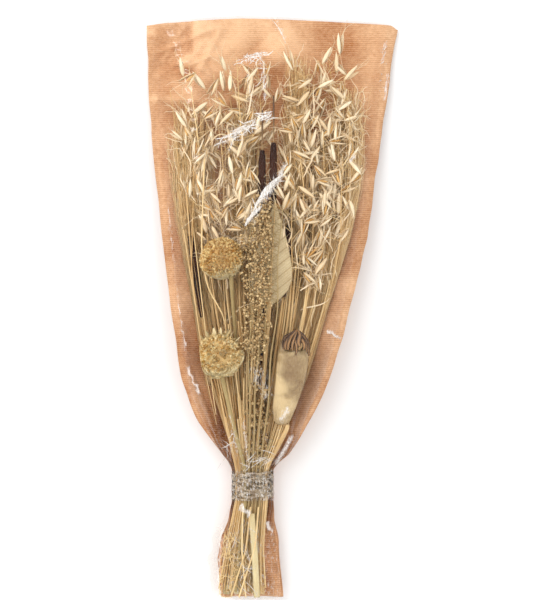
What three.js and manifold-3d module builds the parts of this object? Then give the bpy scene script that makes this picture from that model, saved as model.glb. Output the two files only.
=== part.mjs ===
// A dried bouquet in its sleeve, lying on its back: a sheet of ribbed kraft paper under it, a clear film
// over it, a twine and a clear tape round the neck, and stems that fan out from the neck to their heads.
// Millimetres. +Y runs from the cut ends to the heads, +Z is up, and Z = 0 is what the paper rests on.
//
// Every plant is built straight along Y from three.js solids, and then carried over to its own line. A line
// is x(y) and z(y). At the neck the lines pass through a grid of slots, in rows from the back to the front,
// and from there each row spreads and rises by one law, so stems of a row never cross.
import * as THREE from "three";
import { mergeVertices } from "three/addons/utils/BufferGeometryUtils.js";
import Module from "manifold-3d";

// ---- Driving dimensions -----------------------------------------------------------------------------
const LENGTH = 600; // of the sleeve, and of the whole bouquet
const TOP_WIDTH = 260; // of the sleeve's open end
const STEM_DIAMETER = 3.2; // in the neck
const STEM_CLEARANCE = 0.5; // between stems that lie side by side in the neck
const LAYER_GAP = 11; // between the rows of stems once they have spread
const BACK_LAYER = 8.2; // height of the first row
const PAPER = 0.6; // thickness of the kraft sheet's solid
const FILM = 0.5; // thickness of the clear film's solid
const TAPE = 0.5; // thickness of the tape's solid
const FIT = 0.35; // clearance between pieces that touch
const TWINE_DIAMETER = 2.2;
const TWINE_TURNS = 11;
const TAPE_WIDTH = 30;
const UPPER_GLOBE = 46; // diameters of the two globe heads
const LOWER_GLOBE = 48;
const CATTAIL_SPIKE = 8.4; // diameter of a cattail's brown spike
const SPATHE_THICK = 18; // depth of the folded spathe
const SPIKELET = 20; // length of an oat spikelet
const SIDES = 5; // of a stem

// ---- Places along and across the sleeve -------------------------------------------------------------
const along = (share) => LENGTH * (share - 0.5); // 0 at the cut ends, 1 at the open end
const across = (share) => (TOP_WIDTH / 2) * share; // -1 and 1 at the open end's corners

const NECK_LOW = along(0.165);
const NECK_HIGH = along(0.222);
const NECK_MIDDLE = (NECK_LOW + NECK_HIGH) / 2;
const NECK_X = across(-0.154);
const FEET_X = across(-0.189); // the bouquet's feet lie a little left of its neck
const FULL_SPREAD = along(0.765); // where the stems stop leaning out
const FULL_RISE = along(0.53); // where the rows have reached their layers

// ---- The neck: a grid of slots, and what is wound round it -------------------------------------------
const PITCH = STEM_DIAMETER + STEM_CLEARANCE;
const SLOTS = [5, 8, 9, 9, 8, 5]; // stems in each row, from the back
const neckA = PITCH * 4.45 + STEM_DIAMETER / 2; // half width and half depth of the packed stems
const neckB = PITCH * 2.95 + STEM_DIAMETER / 2;
const twineIn = FIT;
const sheetIn = twineIn + TWINE_DIAMETER + FIT;
const tapeIn = sheetIn + Math.max(PAPER, FILM) + 1.3 * FIT;
const FOOT_SPREAD = 0.5; // the feet stand this much further apart than in the neck
const FOOT_DROP = -3;
const feetHalf = neckA * (1 + FOOT_SPREAD);
const NECK_Z = neckB + tapeIn + TAPE; // so that the tape just touches what the paper rests on

// Every stem has its corners at these places, so that neighbours stay side by side between them.
const CORNERS = [0.09, 0.165, 0.222, 0.26, 0.31, 0.39, 0.5, 0.62, 0.765].map(along);

const slotX = (row, column) => (column - (SLOTS[row] - 1) / 2) * PITCH;
const slotZ = (row) => (row - (SLOTS.length - 1) / 2) * PITCH;
const layer = (row) => BACK_LAYER + row * LAYER_GAP;

// ---- Laws that the lines follow ----------------------------------------------------------------------
const clamp = (v, low, high) => Math.min(high, Math.max(low, v));
const ramp = (from, to, y) => clamp((y - from) / (to - from), 0, 1);
const smooth = (from, to, y) => {
  const t = ramp(from, to, y);
  return t * t * (3 - 2 * t);
};
const spread = (y) => 1 - (1 - ramp(NECK_HIGH, FULL_SPREAD, y)) ** 1.8;
const rise = (y) => 1 - (1 - ramp(NECK_HIGH, FULL_RISE, y)) ** 2;

/** The line of a stem: x(y) and z(y). It passes its slot, leans out to reach x = head.x at head.y, and
 * goes up to its own height between riseFrom and riseTo, if it has one. */
function line({ row, column, head, height, riseFrom, riseTo }) {
  const slot = slotX(row, column);
  const lean = (head[0] - NECK_X - slot) / spread(head[1]);
  const foot = (y) => 1 - smooth(along(0), NECK_LOW, y);
  const low = NECK_Z + slotZ(row);
  return {
    x: (y) => NECK_X + slot + (FEET_X - NECK_X + slot * FOOT_SPREAD) * foot(y) + lean * spread(y),
    z: (y) => {
      const inLayer = low + FOOT_DROP * foot(y) + (layer(row) - low) * rise(y);
      return height === undefined ? inLayer : inLayer + (height - inLayer) * smooth(riseFrom, riseTo, y);
    },
  };
}

// ---- Solids -------------------------------------------------------------------------------------------
const wasm = await Module();
wasm.setup();

/** A closed three.js geometry as a manifold-3d solid. */
function solid(geometry) {
  const bare = geometry.index ? geometry.toNonIndexed() : geometry.clone();
  for (const name of Object.keys(bare.attributes)) if (name !== "position") bare.deleteAttribute(name);
  const merged = mergeVertices(bare, 1e-3);
  const index = merged.index.array;
  const whole = [];
  for (let i = 0; i < index.length; i += 3) {
    const [a, b, c] = [index[i], index[i + 1], index[i + 2]];
    if (a !== b && b !== c && a !== c) whole.push(a, b, c);
  }
  return new wasm.Manifold(
    new wasm.Mesh({
      numProp: 3,
      vertProperties: merged.attributes.position.array,
      triVerts: new Uint32Array(whole),
    }),
  );
}

/** Several solids joined into one geometry. */
function join(parts) {
  const mesh = parts.map(solid).reduce((a, b) => a.add(b)).getMesh();
  const geometry = new THREE.BufferGeometry();
  geometry.setAttribute("position", new THREE.BufferAttribute(new Float32Array(mesh.vertProperties), 3));
  return geometry.setIndex(new THREE.BufferAttribute(new Uint32Array(mesh.triVerts), 1));
}

/** Carries a straight geometry over to a line: each point keeps its y, and its x and z are offsets. */
function carry(geometry, { x, z }) {
  const p = geometry.attributes.position;
  for (let i = 0; i < p.count; i++) {
    const y = p.getY(i);
    p.setXYZ(i, p.getX(i) + x(y), y, p.getZ(i) + z(y));
  }
  return geometry;
}

/** A solid of revolution along Y from [radius, y] points that start and end on the axis. */
const turned = (points, sides = SIDES) =>
  new THREE.LatheGeometry(points.map(([r, y]) => new THREE.Vector2(r, y)), sides);

/** The points of a straight stem from its cut end at y0 up to y1, tapering from r0 to r1. */
function stemPoints(y0, y1, r0, r1) {
  const radius = (y) => r0 + ((r1 - r0) * (y - y0)) / (y1 - y0);
  return [y0, ...CORNERS.filter((y) => y > y0 + 3 && y < y1 - 3), y1].map((y) => [radius(y), y]);
}

/** A thin closed sheet. place(s, t) is a point of its middle: s goes across from -1 to 1, and t along, at the
 * given rows from 0 to 1. */
function sheet(place, thickness, acrossSteps, rows) {
  const points = [];
  const faces = [];
  const alongSteps = rows.length - 1;
  const row = acrossSteps + 1;
  const at = (i, j) => place((2 * i) / acrossSteps - 1, rows[j]);
  const nudge = 1e-3;
  const normal = (i, j) => {
    const [s, t] = [(2 * i) / acrossSteps - 1, rows[j]];
    const a = place(Math.min(1, s + nudge), t).sub(place(Math.max(-1, s - nudge), t));
    const b = place(s, Math.min(1, t + nudge)).sub(place(s, Math.max(0, t - nudge)));
    return a.cross(b).normalize();
  };
  for (const side of [0.5, -0.5])
    for (let j = 0; j <= alongSteps; j++)
      for (let i = 0; i <= acrossSteps; i++)
        points.push(...at(i, j).addScaledVector(normal(i, j), side * thickness));
  const under = row * (alongSteps + 1);
  const quad = (a, b, c, d) => faces.push(a, b, c, a, c, d);
  for (let j = 0; j < alongSteps; j++)
    for (let i = 0; i < acrossSteps; i++) {
      const a = j * row + i;
      quad(a, a + 1, a + row + 1, a + row);
      quad(under + a, under + a + row, under + a + row + 1, under + a + 1);
    }
  for (let i = 0; i < acrossSteps; i++) {
    const far = alongSteps * row + i;
    quad(i, under + i, under + i + 1, i + 1);
    quad(far, far + 1, under + far + 1, under + far);
  }
  for (let j = 0; j < alongSteps; j++) {
    const [left, right] = [j * row, j * row + acrossSteps];
    quad(left, left + row, under + left + row, under + left);
    quad(right, under + right, under + right + row, right + row);
  }
  const geometry = new THREE.BufferGeometry();
  geometry.setAttribute("position", new THREE.BufferAttribute(new Float32Array(points), 3));
  return geometry.setIndex(faces);
}

/** A smooth curve that never overshoots, through [y, value] points in order of y. */
function curve(points) {
  const slope = points.slice(1).map(([y, v], i) => (v - points[i][1]) / (y - points[i][0]));
  const tangent = points.map((_, i) => {
    const [a, b] = [slope[i - 1] ?? slope[i], slope[i] ?? slope[i - 1]];
    return a * b <= 0 ? 0 : (2 * a * b) / (a + b);
  });
  return (y) => {
    const found = points.findIndex(([at]) => at > y);
    const i = clamp((found < 0 ? points.length : found) - 1, 0, points.length - 2);
    const [[y0, v0], [y1, v1]] = [points[i], points[i + 1]];
    const h = y1 - y0;
    const t = clamp((y - y0) / h, 0, 1);
    const s = 1 - t;
    return (
      v0 * (1 + 2 * t) * s * s +
      tangent[i] * h * t * s * s +
      v1 * (3 - 2 * t) * t * t -
      tangent[i + 1] * h * t * t * s
    );
  };
}

// ---- The plants ------------------------------------------------------------------------------------
const place = (x, y) => [across(x), along(y)];
const forward = (height, from, to) => ({ height, riseFrom: along(from), riseTo: along(to) });
// The palm leaf's stalk, and the upper globe beside the leaf.
const PALM = { row: 4, column: 4, head: place(-0.02, 0.5) };
const PALM_WIDE = across(0.17);
const GLOBE_ROOM = 3; // between a globe and the leaf or spray beside it
const upperX = PALM.head[0] - PALM_WIDE - UPPER_GLOBE / 2 - GLOBE_ROOM;
// Oat stalks: the slot, the tip of the panicle, and for a panicle that comes forward out of its row's
// layer, its height and where it goes there. The tenth passes behind the upper globe and ends over it,
// and the ninth stands to its left.
const OATS = [
  { row: 1, column: 0, head: place(-0.75, 0.883) },
  { row: 1, column: 1, head: place(-0.59, 0.922), ...forward(layer(2), 0.62, 0.72) },
  { row: 1, column: 2, head: place(-0.4, 0.908) },
  { row: 1, column: 3, head: place(-0.23, 0.933), ...forward(layer(2), 0.62, 0.72) },
  { row: 1, column: 4, head: place(-0.07, 0.93) },
  { row: 1, column: 5, head: place(0.3, 0.927), ...forward(layer(2), 0.6, 0.7) },
  { row: 1, column: 6, head: place(0.51, 0.952) },
  { row: 1, column: 7, head: place(0.64, 0.9), ...forward(layer(1) + 8.5, 0.6, 0.7) },
  { row: 2, column: 1, head: [upperX + across(-0.14), along(0.788)], ...forward(layer(3), 0.61, 0.66) },
  { row: 2, column: 2, head: [upperX, along(0.71)], ...forward(layer(4), 0.625, 0.68) },
  { row: 2, column: 4, head: place(-0.28, 0.782), ...forward(layer(3), 0.615, 0.66) },
  { row: 2, column: 5, head: place(-0.15, 0.745), ...forward(layer(4) - 1, 0.53, 0.6) },
  { row: 2, column: 7, head: place(0.46, 0.805), ...forward(layer(2) + 2, 0.55, 0.63) },
  { row: 2, column: 8, head: place(0.61, 0.765), ...forward(layer(3), 0.5, 0.6) },
  { row: 3, column: 6, head: place(0.21, 0.715), ...forward(layer(4) - 2, 0.5, 0.58) },
  { row: 3, column: 7, head: place(0.25, 0.84) },
  { row: 3, column: 8, head: place(0.38, 0.69) },
];
// Grass plumes, at the back.
const PLUMES = [
  { row: 0, column: 0, head: place(-0.65, 0.843) },
  { row: 0, column: 1, head: place(-0.22, 0.857) },
  { row: 0, column: 2, head: place(0.2, 0.923) },
  { row: 0, column: 3, head: place(0.43, 0.79) },
  { row: 0, column: 4, head: place(0.6, 0.865) },
];
// Cattails: the tip, and the spike's top and bottom along the sleeve.
const CATTAILS = [
  { row: 3, column: 3, head: place(-0.077, 0.837), spike: [0.617, 0.772] },
  { row: 3, column: 4, head: place(0.012, 0.862), spike: [0.625, 0.784] },
  { row: 2, column: 0, head: place(-0.66, 0.66), spike: [0.483, 0.624] },
  { row: 2, column: 6, head: place(-0.05, 0.545), spike: [0.375, 0.515] },
  { row: 3, column: 5, head: place(0.14, 0.667), spike: [0.515, 0.643] },
];
// Seed sprays: the tip, and where the lowest cluster sits.
const SPRAYS = [
  { row: 5, column: 1, head: place(-0.17, 0.655), low: 0.42 },
  { row: 5, column: 2, head: place(-0.09, 0.69), low: 0.4 },
  { row: 5, column: 3, head: place(-0.01, 0.665), low: 0.43 },
  { row: 5, column: 4, head: place(0.075, 0.683), low: 0.5 },
  { row: 4, column: 3, head: place(-0.11, 0.475), low: 0.3 },
  { row: 4, column: 5, head: place(0.0, 0.36), low: 0.26 },
];
// Dried leaf blades and bare straws that end behind or under the heads.
const BLADES = [
  { row: 3, column: 0, head: place(-0.36, 0.35), width: 5.5 },
  { row: 3, column: 1, head: place(-0.29, 0.345), width: 4.5 },
  { row: 3, column: 2, head: place(-0.22, 0.35), width: 5 },
  { row: 4, column: 0, head: place(-0.33, 0.32), width: 5 },
  { row: 4, column: 1, head: place(-0.26, 0.325), width: 4 },
  { row: 4, column: 2, head: place(-0.19, 0.33), width: 5 },
  { row: 4, column: 6, head: place(0.0, 0.275), width: 4 },
];
const SPATHE = { row: 4, column: 7, head: place(0.125, 0.295) };

const footY = (i) => along(0.004 + 0.011 * ((i * 0.618) % 1)); // the feet are cut a little unevenly
const R = STEM_DIAMETER / 2;
const PANICLE_LENGTH = along(0.13) - along(0);
const PANICLE_REACH = across(0.115);
const SPIKELETS = 5;
const PLUME_HALF_DEPTH = 4.6;
const PLUME_HALF_WIDTH = across(0.073);
const SPRAY_LUMP = 4.2; // radius of a spray's largest clusters
const GOLDEN_ANGLE = 2.4;

/** An oat stalk: a straw with short branches to either side, and a spikelet at the end of each branch. */
function oat(stalk, i) {
  const tip = stalk.head[1];
  const up = new THREE.Vector3(0, 1, 0);
  const shares = Array.from({ length: SPIKELETS }, (_, k) => k / (SPIKELETS - 1));
  const node = (share) => tip - SPIKELET - (PANICLE_LENGTH - SPIKELET) * (1 - share);
  const upper = shares.slice(1).map((share) => [1, node(share)]);
  const stem = [...stemPoints(footY(i), node(0), R, 1.3), ...upper];
  const parts = [turned([[0, footY(i)], ...stem, [0, tip]])];
  for (const [k, share] of shares.entries()) {
    const reach = (k % 2 ? 1 : -1) * PANICLE_REACH * (1 - 0.45 * share);
    const depth = 0.16 * LAYER_GAP * Math.sin(k * GOLDEN_ANGLE + i);
    const rod = new THREE.Vector3(reach, SPIKELET * 1.05, depth);
    const size = rod.length();
    const [neck, belly] = [size - SPIKELET * 0.8, size - SPIKELET * 0.4];
    const clubShape = [[0, -1], [0.8, 0], [0.8, neck], [2.3, belly], [0, size]];
    const club = turned(clubShape, 4);
    club.applyQuaternion(new THREE.Quaternion().setFromUnitVectors(up, rod.normalize()));
    parts.push(club.translate(0, node(share), 0));
  }
  const own = line(stalk);
  return join(parts.map((part) => carry(part, own)));
}

/** A grass plume: a straw that ends in a long soft spindle, wider than it is deep. */
function plume(stalk, i) {
  const [low, tip] = [stalk.head[1] - 0.36 * LENGTH, stalk.head[1]];
  const wider = PLUME_HALF_WIDTH / PLUME_HALF_DEPTH - 1;
  const shape = [[0.56, 0.08], [0.92, 0.3], [1, 0.6], [0.65, 0.85]];
  const body = shape.map(([r, share]) => [r * PLUME_HALF_DEPTH, low + (tip - low) * share]);
  const stem = stemPoints(footY(i + 3), low, R, 1.2);
  const geometry = turned([[0, footY(i + 3)], ...stem, ...body, [0, tip]], 7);
  const p = geometry.attributes.position;
  for (let k = 0; k < p.count; k++) p.setX(k, p.getX(k) * (1 + wider * smooth(low, low + 30, p.getY(k))));
  return carry(geometry, line(stalk));
}

/** A cattail: a straw, the felted brown spike, and the bare tip above it. */
function cattail(stalk, i) {
  const [low, high] = stalk.spike.map(along);
  const r = CATTAIL_SPIKE / 2;
  const tip = stalk.head[1];
  const profile = [
    [0, footY(i + 5)],
    ...stemPoints(footY(i + 5), low - 1, R, 1.5),
    [r * 0.8, low],
    [r, low + 4],
    [r, high - 4],
    [r * 0.75, high],
    [1.2, high + 1],
    [0.9, tip],
    [0, tip],
  ];
  return carry(turned(profile, 8), line(stalk));
}

/** A seed spray: a wiry straw with lumps of clustered seed capsules, larger towards the tip. */
function spray(stalk, i) {
  const [low, tip] = [along(stalk.low), stalk.head[1]];
  const lumps = Math.round((tip - low) / 24);
  const gap = (tip - low) / lumps;
  const body = Array.from({ length: lumps }, (_, k) => {
    const y = low + k * gap;
    const r = SPRAY_LUMP * (0.74 + (0.26 * k) / lumps);
    return [[1.6, y], [r, y + gap * 0.35], [r, y + gap * 0.7]];
  }).flat();
  const stem = stemPoints(footY(i + 2), low - 1, R, 1);
  return carry(turned([[0, footY(i + 2)], ...stem, ...body, [0, tip]], 6), line(stalk));
}

/** A dried leaf blade: a flat strap that narrows to its tip, and is stem-thin in the neck. */
function blade(stalk, i) {
  const tip = stalk.head[1];
  const profile = [[0, footY(i)], ...stemPoints(footY(i), tip - 14, R, R), [0, tip]];
  const geometry = turned(profile, 4).rotateY(Math.PI / 4);
  const p = geometry.attributes.position;
  const widest = stalk.width / 2;
  for (let k = 0; k < p.count; k++) {
    const wide = 1 + (widest / R - 1) * smooth(NECK_HIGH, NECK_HIGH + 30, p.getY(k));
    p.setXYZ(k, p.getX(k) * Math.min(wide, PITCH / STEM_DIAMETER * 1.2), p.getY(k), p.getZ(k) * 0.5);
  }
  return carry(geometry, line(stalk));
}

/** A straw from its foot up to y1, straight or on its own line. */
const straw = (stalk, i, y1, r1 = R) =>
  carry(turned([[0, footY(i)], ...stemPoints(footY(i), y1, R, r1), [0, y1 + 0.4]], 6), line(stalk));

// The palm spear: a pleated fan leaf, cut to a point, that starts at its stalk.
const PALM_LONG = along(0.18) - along(0);
const PALM_LEAN = across(0.03);
const PLEATS = 5;
const PALM_TOP = layer(5) - SPRAY_LUMP - FIT;

// Globe heads: a ball whose top is a little flat, tipped so that its foot points down its straw.
const upperY = along(0.581);
// The lower globe stands beside the sprays.
const lowerX = line(SPRAYS[0]).x(along(0.42)) - SPRAY_LUMP - LOWER_GLOBE / 2 - GLOBE_ROOM;
const upperZ = layer(2) + R + FIT + UPPER_GLOBE / 2;
const lowerY = along(0.415);
const lowerLayer = NECK_Z + slotZ(2) + (layer(2) - NECK_Z - slotZ(2)) * rise(lowerY);
const lowerZ = lowerLayer + R + FIT + 1 + LOWER_GLOBE / 2;
const [UPPER_TIP, LOWER_TIP] = [0.5, 0.15]; // how far each globe leans to the left of its straw
const FOOT_AT = 0.8; // a globe's flat foot is this share of its radius below its middle
const globeFoot = (x, y, diameter, tip) => [
  x + FOOT_AT * (diameter / 2) * Math.sin(tip),
  y - FOOT_AT * (diameter / 2) * Math.cos(tip) - FIT,
];
const upperStraw = {
  row: 2,
  column: 3,
  head: globeFoot(upperX, upperY, UPPER_GLOBE, UPPER_TIP),
  ...forward(upperZ, 0.46, 0.535),
};
const lowerStraw = {
  row: 5,
  column: 0,
  head: globeFoot(lowerX, lowerY, LOWER_GLOBE, LOWER_TIP),
  ...forward(lowerZ, 0.3, 0.37),
};

function globe(diameter, at, tip) {
  const r = diameter / 2;
  const side = [[0.45, -0.78], [0.8, -0.55], [0.98, -0.1], [0.94, 0.35], [0.7, 0.72], [0.36, 0.9]];
  const profile = [[0, -FOOT_AT], ...side, [0, 0.96]];
  const ball = turned(profile.map(([x, y]) => [x * r, y * r]), 12);
  return ball.rotateZ(tip).translate(...at);
}

function palmLeaf() {
  const foot = PALM.head[1] + 2;
  const low = line(PALM).z(foot) + 1.5;
  const wide = (t) => PALM_WIDE * Math.sin(Math.PI * (0.08 + 0.86 * t)) ** 0.7;
  return sheet(
    (s, t) =>
      new THREE.Vector3(
        line(PALM).x(foot) + PALM_LEAN * t + wide(t) * s,
        foot + PALM_LONG * t * (1 - 0.12 * s * s),
        low +
          (PALM_TOP - low) * smooth(0, 0.4, t) +
          0.8 * Math.cos(Math.PI * PLEATS * s) * Math.min(1, 4 * t) -
          1,
      ),
    1,
    PLEATS * 2,
    [0, 0.1, 0.25, 0.45, 0.65, 0.85, 1],
  );
}

// The spathe: a folded leathery leaf on its stalk, and the dark-edged bud tip that looks out of it.
const SPATHE_LONG = along(0.139) - along(0);
const SPATHE_WIDE = across(0.125);
const spatheFoot = SPATHE.head[1] + 1;
const SPATHE_LIFT = SPATHE_THICK / 2 + FIT + R - LAYER_GAP / 2; // over its own row's layer
const spatheLine = {
  x: (y) => line(SPATHE).x(spatheFoot) + across(0.055) * ramp(spatheFoot, spatheFoot + SPATHE_LONG, y),
  z: (y) => line(SPATHE).z(y) + SPATHE_LIFT,
};
const spatheHigh = spatheLine.z(spatheFoot);
const spatheStraw = { ...SPATHE, height: spatheHigh, riseFrom: along(0.25), riseTo: along(0.29) };
function spatheLeaf() {
  const shape = [[0, 0], [0.3, 0.01], [0.62, 0.3], [0.94, 0.62], [1, 0.85], [0.86, 0.99], [0, 1]];
  const body = turned(shape.map(([r, y]) => [r, spatheFoot + SPATHE_LONG * y]), 10);
  body.scale(SPATHE_WIDE, 1, SPATHE_THICK / 2);
  return carry(body, spatheLine);
}
function budTip() {
  const foot = spatheFoot + SPATHE_LONG + FIT;
  const tip = turned([[0, 0], [0.7, 0], [0.74, 3], [0.42, 8.5], [0, 13]], 8);
  tip.scale(SPATHE_WIDE, 1, SPATHE_THICK / 2).translate(0, foot, 0);
  return carry(tip, spatheLine);
}

// ---- The sleeve -------------------------------------------------------------------------------------
// Stations along the sleeve: share of the length, left and right edge, height of the edge seam, height of
// the film, how square the paper's section is (2 is round), and how square the film's arch is.
const neckHalf = neckA + sheetIn + Math.max(PAPER, FILM) / 2;
const neckDeep = neckB + sheetIn + Math.max(PAPER, FILM) / 2;
const feetTop = NECK_Z + neckB + 4;
const lowerLeft = lowerX - LOWER_GLOBE / 2;
const upperLeft = upperX - UPPER_GLOBE / 2;
const plump = upperZ + UPPER_GLOBE / 2;
const [feetLeft, feetRight] = [FEET_X - feetHalf, FEET_X + feetHalf];
const [neckLeft, neckRight] = [NECK_X - neckHalf, NECK_X + neckHalf];
const STATIONS = [
  { at: 0, left: feetLeft, right: feetRight + 9, seam: 13, top: feetTop, square: 2.6, arch: 0.1 },
  { at: 0.068, left: feetLeft - 4, right: feetRight + 6, seam: 13, top: feetTop, square: 2.4, arch: 0.1 },
  { at: 0.165, left: neckLeft, right: neckRight, seam: NECK_Z, top: NECK_Z + neckDeep, square: 2, arch: 0 },
  { at: 0.222, left: neckLeft, right: neckRight, seam: NECK_Z, top: NECK_Z + neckDeep, square: 2, arch: 0 },
  { at: 0.247, left: across(-0.39), right: across(0.13), seam: 20, top: 46, square: 2.3, arch: 0.3 },
  { at: 0.307, left: across(-0.585), right: across(0.3), seam: 27, top: 68, square: 3, arch: 0.8 },
  { at: 0.375, left: lowerLeft - 14.5, right: across(0.45), seam: 30, top: plump + 7, square: 3.6, arch: 1 },
  { at: 0.513, left: upperLeft - 31, right: across(0.63), seam: 26, top: plump + 8, square: 4.4, arch: 1 },
  { at: 0.62, left: across(-0.87), right: across(0.75), seam: 20, top: plump + 5, square: 5, arch: 1 },
  { at: 0.787, left: across(-0.95), right: across(0.865), seam: 11, top: 66, square: 5, arch: 1 },
  { at: 0.9, left: across(-0.985), right: across(0.945), seam: 6, top: 49, square: 5, arch: 1 },
  { at: 1, left: across(-1), right: across(1.01), seam: 2.5, top: 27, square: 5, arch: 0.7 },
];
const station = Object.fromEntries(
  ["left", "right", "seam", "top", "square", "arch"].map((key) => [
    key,
    curve(STATIONS.map((s) => [along(s.at), s[key]])),
  ]),
);
const ROWS = [
  0, 0.034, 0.068, 0.1, 0.135, 0.165, 0.194, 0.222, 0.235, 0.247, 0.275, 0.307, 0.34, 0.375,
  0.42, 0.465, 0.513, 0.565,
  0.62, 0.675, 0.73, 0.787, 0.84, 0.9, 0.95, 1,
];
const FLAT = 0.06; // share of the seam's height that is cut off the paper's curl, so that its middle is flat
const inNeck = (y) => smooth(NECK_LOW - 45, NECK_LOW, y) * (1 - smooth(NECK_HIGH, NECK_HIGH + 45, y));

/** Where the sleeve's open end is at s: highest left of the middle, and clipped at the right corner. */
const mouth = (s) => -7 * (s < -0.25 ? ((-0.25 - s) / 0.75) ** 1.5 : ((s + 0.25) / 1.25) ** 1.5 * 1.6);

/** A point of the paper (side -1) or the film (side 1): s from the left edge to the right, t along. */
function sleevePoint(side, s, t) {
  const y = along(0) + (LENGTH + mouth(s) * smooth(0.8, 1, t)) * t;
  const [left, right, seam] = [station.left(y), station.right(y), station.seam(y)];
  const [middle, half] = [(left + right) / 2, (right - left) / 2];
  const angle = (Math.PI / 2) * s; // 0 in the middle, a right angle at the seams
  if (side < 0) {
    const power = 2 / station.square(y);
    const base = PAPER / 2 + (NECK_Z - neckDeep - PAPER / 2) * inNeck(y);
    const flat = FLAT * (1 - inNeck(y));
    const curl = Math.max(0, 1 - Math.abs(Math.cos(angle)) ** power - flat) / (1 - flat);
    return new THREE.Vector3(
      middle + half * Math.sign(s) * Math.abs(Math.sin(angle)) ** power,
      y,
      base + (seam - base) * curl,
    );
  }
  const u = Math.sin(angle);
  const round = Math.sqrt(Math.max(0, 1 - u * u));
  const boxy = 1 - u ** 4;
  const over = seam + FIT + (PAPER + FILM) / 2;
  const crown = round + (boxy - round) * station.arch(y);
  return new THREE.Vector3(middle + half * u, y, over + (station.top(y) - over) * crown);
}

/** A ring round the neck from a profile of [outward, y] points, on the neck's oval. */
function ring(profile, inner) {
  const closed = [...profile, profile[0]];
  const geometry = turned(closed.map(([out, y]) => [out, y]), 28);
  const p = geometry.attributes.position;
  for (let i = 0; i < p.count; i++) {
    const [x, z] = [p.getX(i), p.getZ(i)];
    const out = Math.hypot(x, z);
    const at = inner + out - 1;
    p.setXYZ(i, NECK_X + (neckA + at) * (x / out), p.getY(i), NECK_Z + (neckB + at) * (z / out));
  }
  return geometry;
}

/** The twine, as a ring with one round ridge for each turn. */
function twine() {
  const start = NECK_MIDDLE - (TWINE_TURNS * TWINE_DIAMETER) / 2;
  const ridges = Array.from({ length: TWINE_TURNS }, (_, k) => {
    const y = start + k * TWINE_DIAMETER;
    return [
      [1 + 0.6 * TWINE_DIAMETER, y],
      [1 + TWINE_DIAMETER, y + TWINE_DIAMETER / 2],
    ];
  }).flat();
  const end = start + TWINE_TURNS * TWINE_DIAMETER;
  return ring([[1, start], ...ridges, [1 + 0.6 * TWINE_DIAMETER, end], [1, end]], twineIn);
}

const [tapeLow, tapeHigh] = [NECK_MIDDLE - TAPE_WIDTH / 2, NECK_MIDDLE + TAPE_WIDTH / 2];
const tape = () =>
  ring(
    [[1, tapeLow], [1 + TAPE, tapeLow], [1 + TAPE, tapeHigh], [1, tapeHigh]],
    tapeIn,
  );

// ---- Materials ----------------------------------------------------------------------------------------
const finish = (color, roughness, more = {}) =>
  new THREE.MeshStandardMaterial({ color, roughness, metalness: 0, ...more });
const kraft = finish(0xd9a06a, 0.8);
const clearFilm = finish(0xf4f1ec, 0.1, { transparent: true, opacity: 0.2 });
const oatStraw = finish(0xddc48f, 0.7);
const grass = finish(0xc4a56e, 0.85);
const brownFelt = finish(0x4a2f26, 0.95);
const seeds = finish(0xb9935a, 0.85);
const floret = finish(0xd8bd78, 0.85);
const paleLeaf = finish(0xd9cb9a, 0.6);
const leather = finish(0xcdb27c, 0.6);
const darkBract = finish(0x5a4136, 0.8);
const dryBlade = finish(0xb9a273, 0.75);
const raffia = finish(0xb5a792, 0.85);

// ---- The bouquet ----------------------------------------------------------------------------------------
const bouquet = new THREE.Group();
function add(name, geometry, material) {
  const mesh = new THREE.Mesh(geometry, material);
  mesh.name = name;
  bouquet.add(mesh);
}
const number = (i) => String(i + 1).padStart(2, "0");

add("kraft_paper_back", sheet((s, t) => sleevePoint(-1, s, t), PAPER, 12, ROWS), kraft);
add("clear_film_front", sheet((s, t) => sleevePoint(1, s, t), FILM, 12, ROWS), clearFilm);
add("neck_twine", twine(), raffia);
add("neck_tape", tape(), clearFilm);
OATS.forEach((stalk, i) => add(`oat_stalk_${number(i)}`, oat(stalk, i), oatStraw));
PLUMES.forEach((stalk, i) => add(`grass_plume_${number(i)}`, plume(stalk, i), grass));
CATTAILS.forEach((stalk, i) => add(`cattail_${number(i)}`, cattail(stalk, i), brownFelt));
SPRAYS.forEach((stalk, i) => add(`seed_spray_${number(i)}`, spray(stalk, i), seeds));
BLADES.forEach((stalk, i) => add(`leaf_blade_${number(i)}`, blade(stalk, i), dryBlade));
add("upper_globe_straw", straw(upperStraw, 4, upperStraw.head[1] - 0.8), oatStraw);
add("upper_globe_head", globe(UPPER_GLOBE, [upperX, upperY, upperZ], UPPER_TIP), floret);
add("lower_globe_straw", straw(lowerStraw, 1, lowerStraw.head[1] - 0.8), oatStraw);
add("lower_globe_head", globe(LOWER_GLOBE, [lowerX, lowerY, lowerZ], LOWER_TIP), floret);
add("palm_stalk", straw(PALM, 6, PALM.head[1] + 1), dryBlade);
add("palm_spear_leaf", palmLeaf(), paleLeaf);
add("spathe_stalk", straw(spatheStraw, 2, SPATHE.head[1]), dryBlade);
add("spathe_leaf", spatheLeaf(), leather);
add("spathe_bud_tip", budTip(), darkBract);

export default bouquet;
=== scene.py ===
# %% [markdown]
# # A dried bouquet in its sleeve
#
# A florist's bunch of dried stems lies on its back. Ribbed kraft paper is under it and clear film over it, and
# both are drawn together at the neck with twine and a turn of clear tape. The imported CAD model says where
# every piece is. This lesson makes each piece the way it grew or was made: straws are tubes along a line,
# grains and florets are small closed shells copied many times, and paper and film are sheets on a grid.
#
# Metres, +Y from the cut ends to the flower heads, +Z up.

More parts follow.
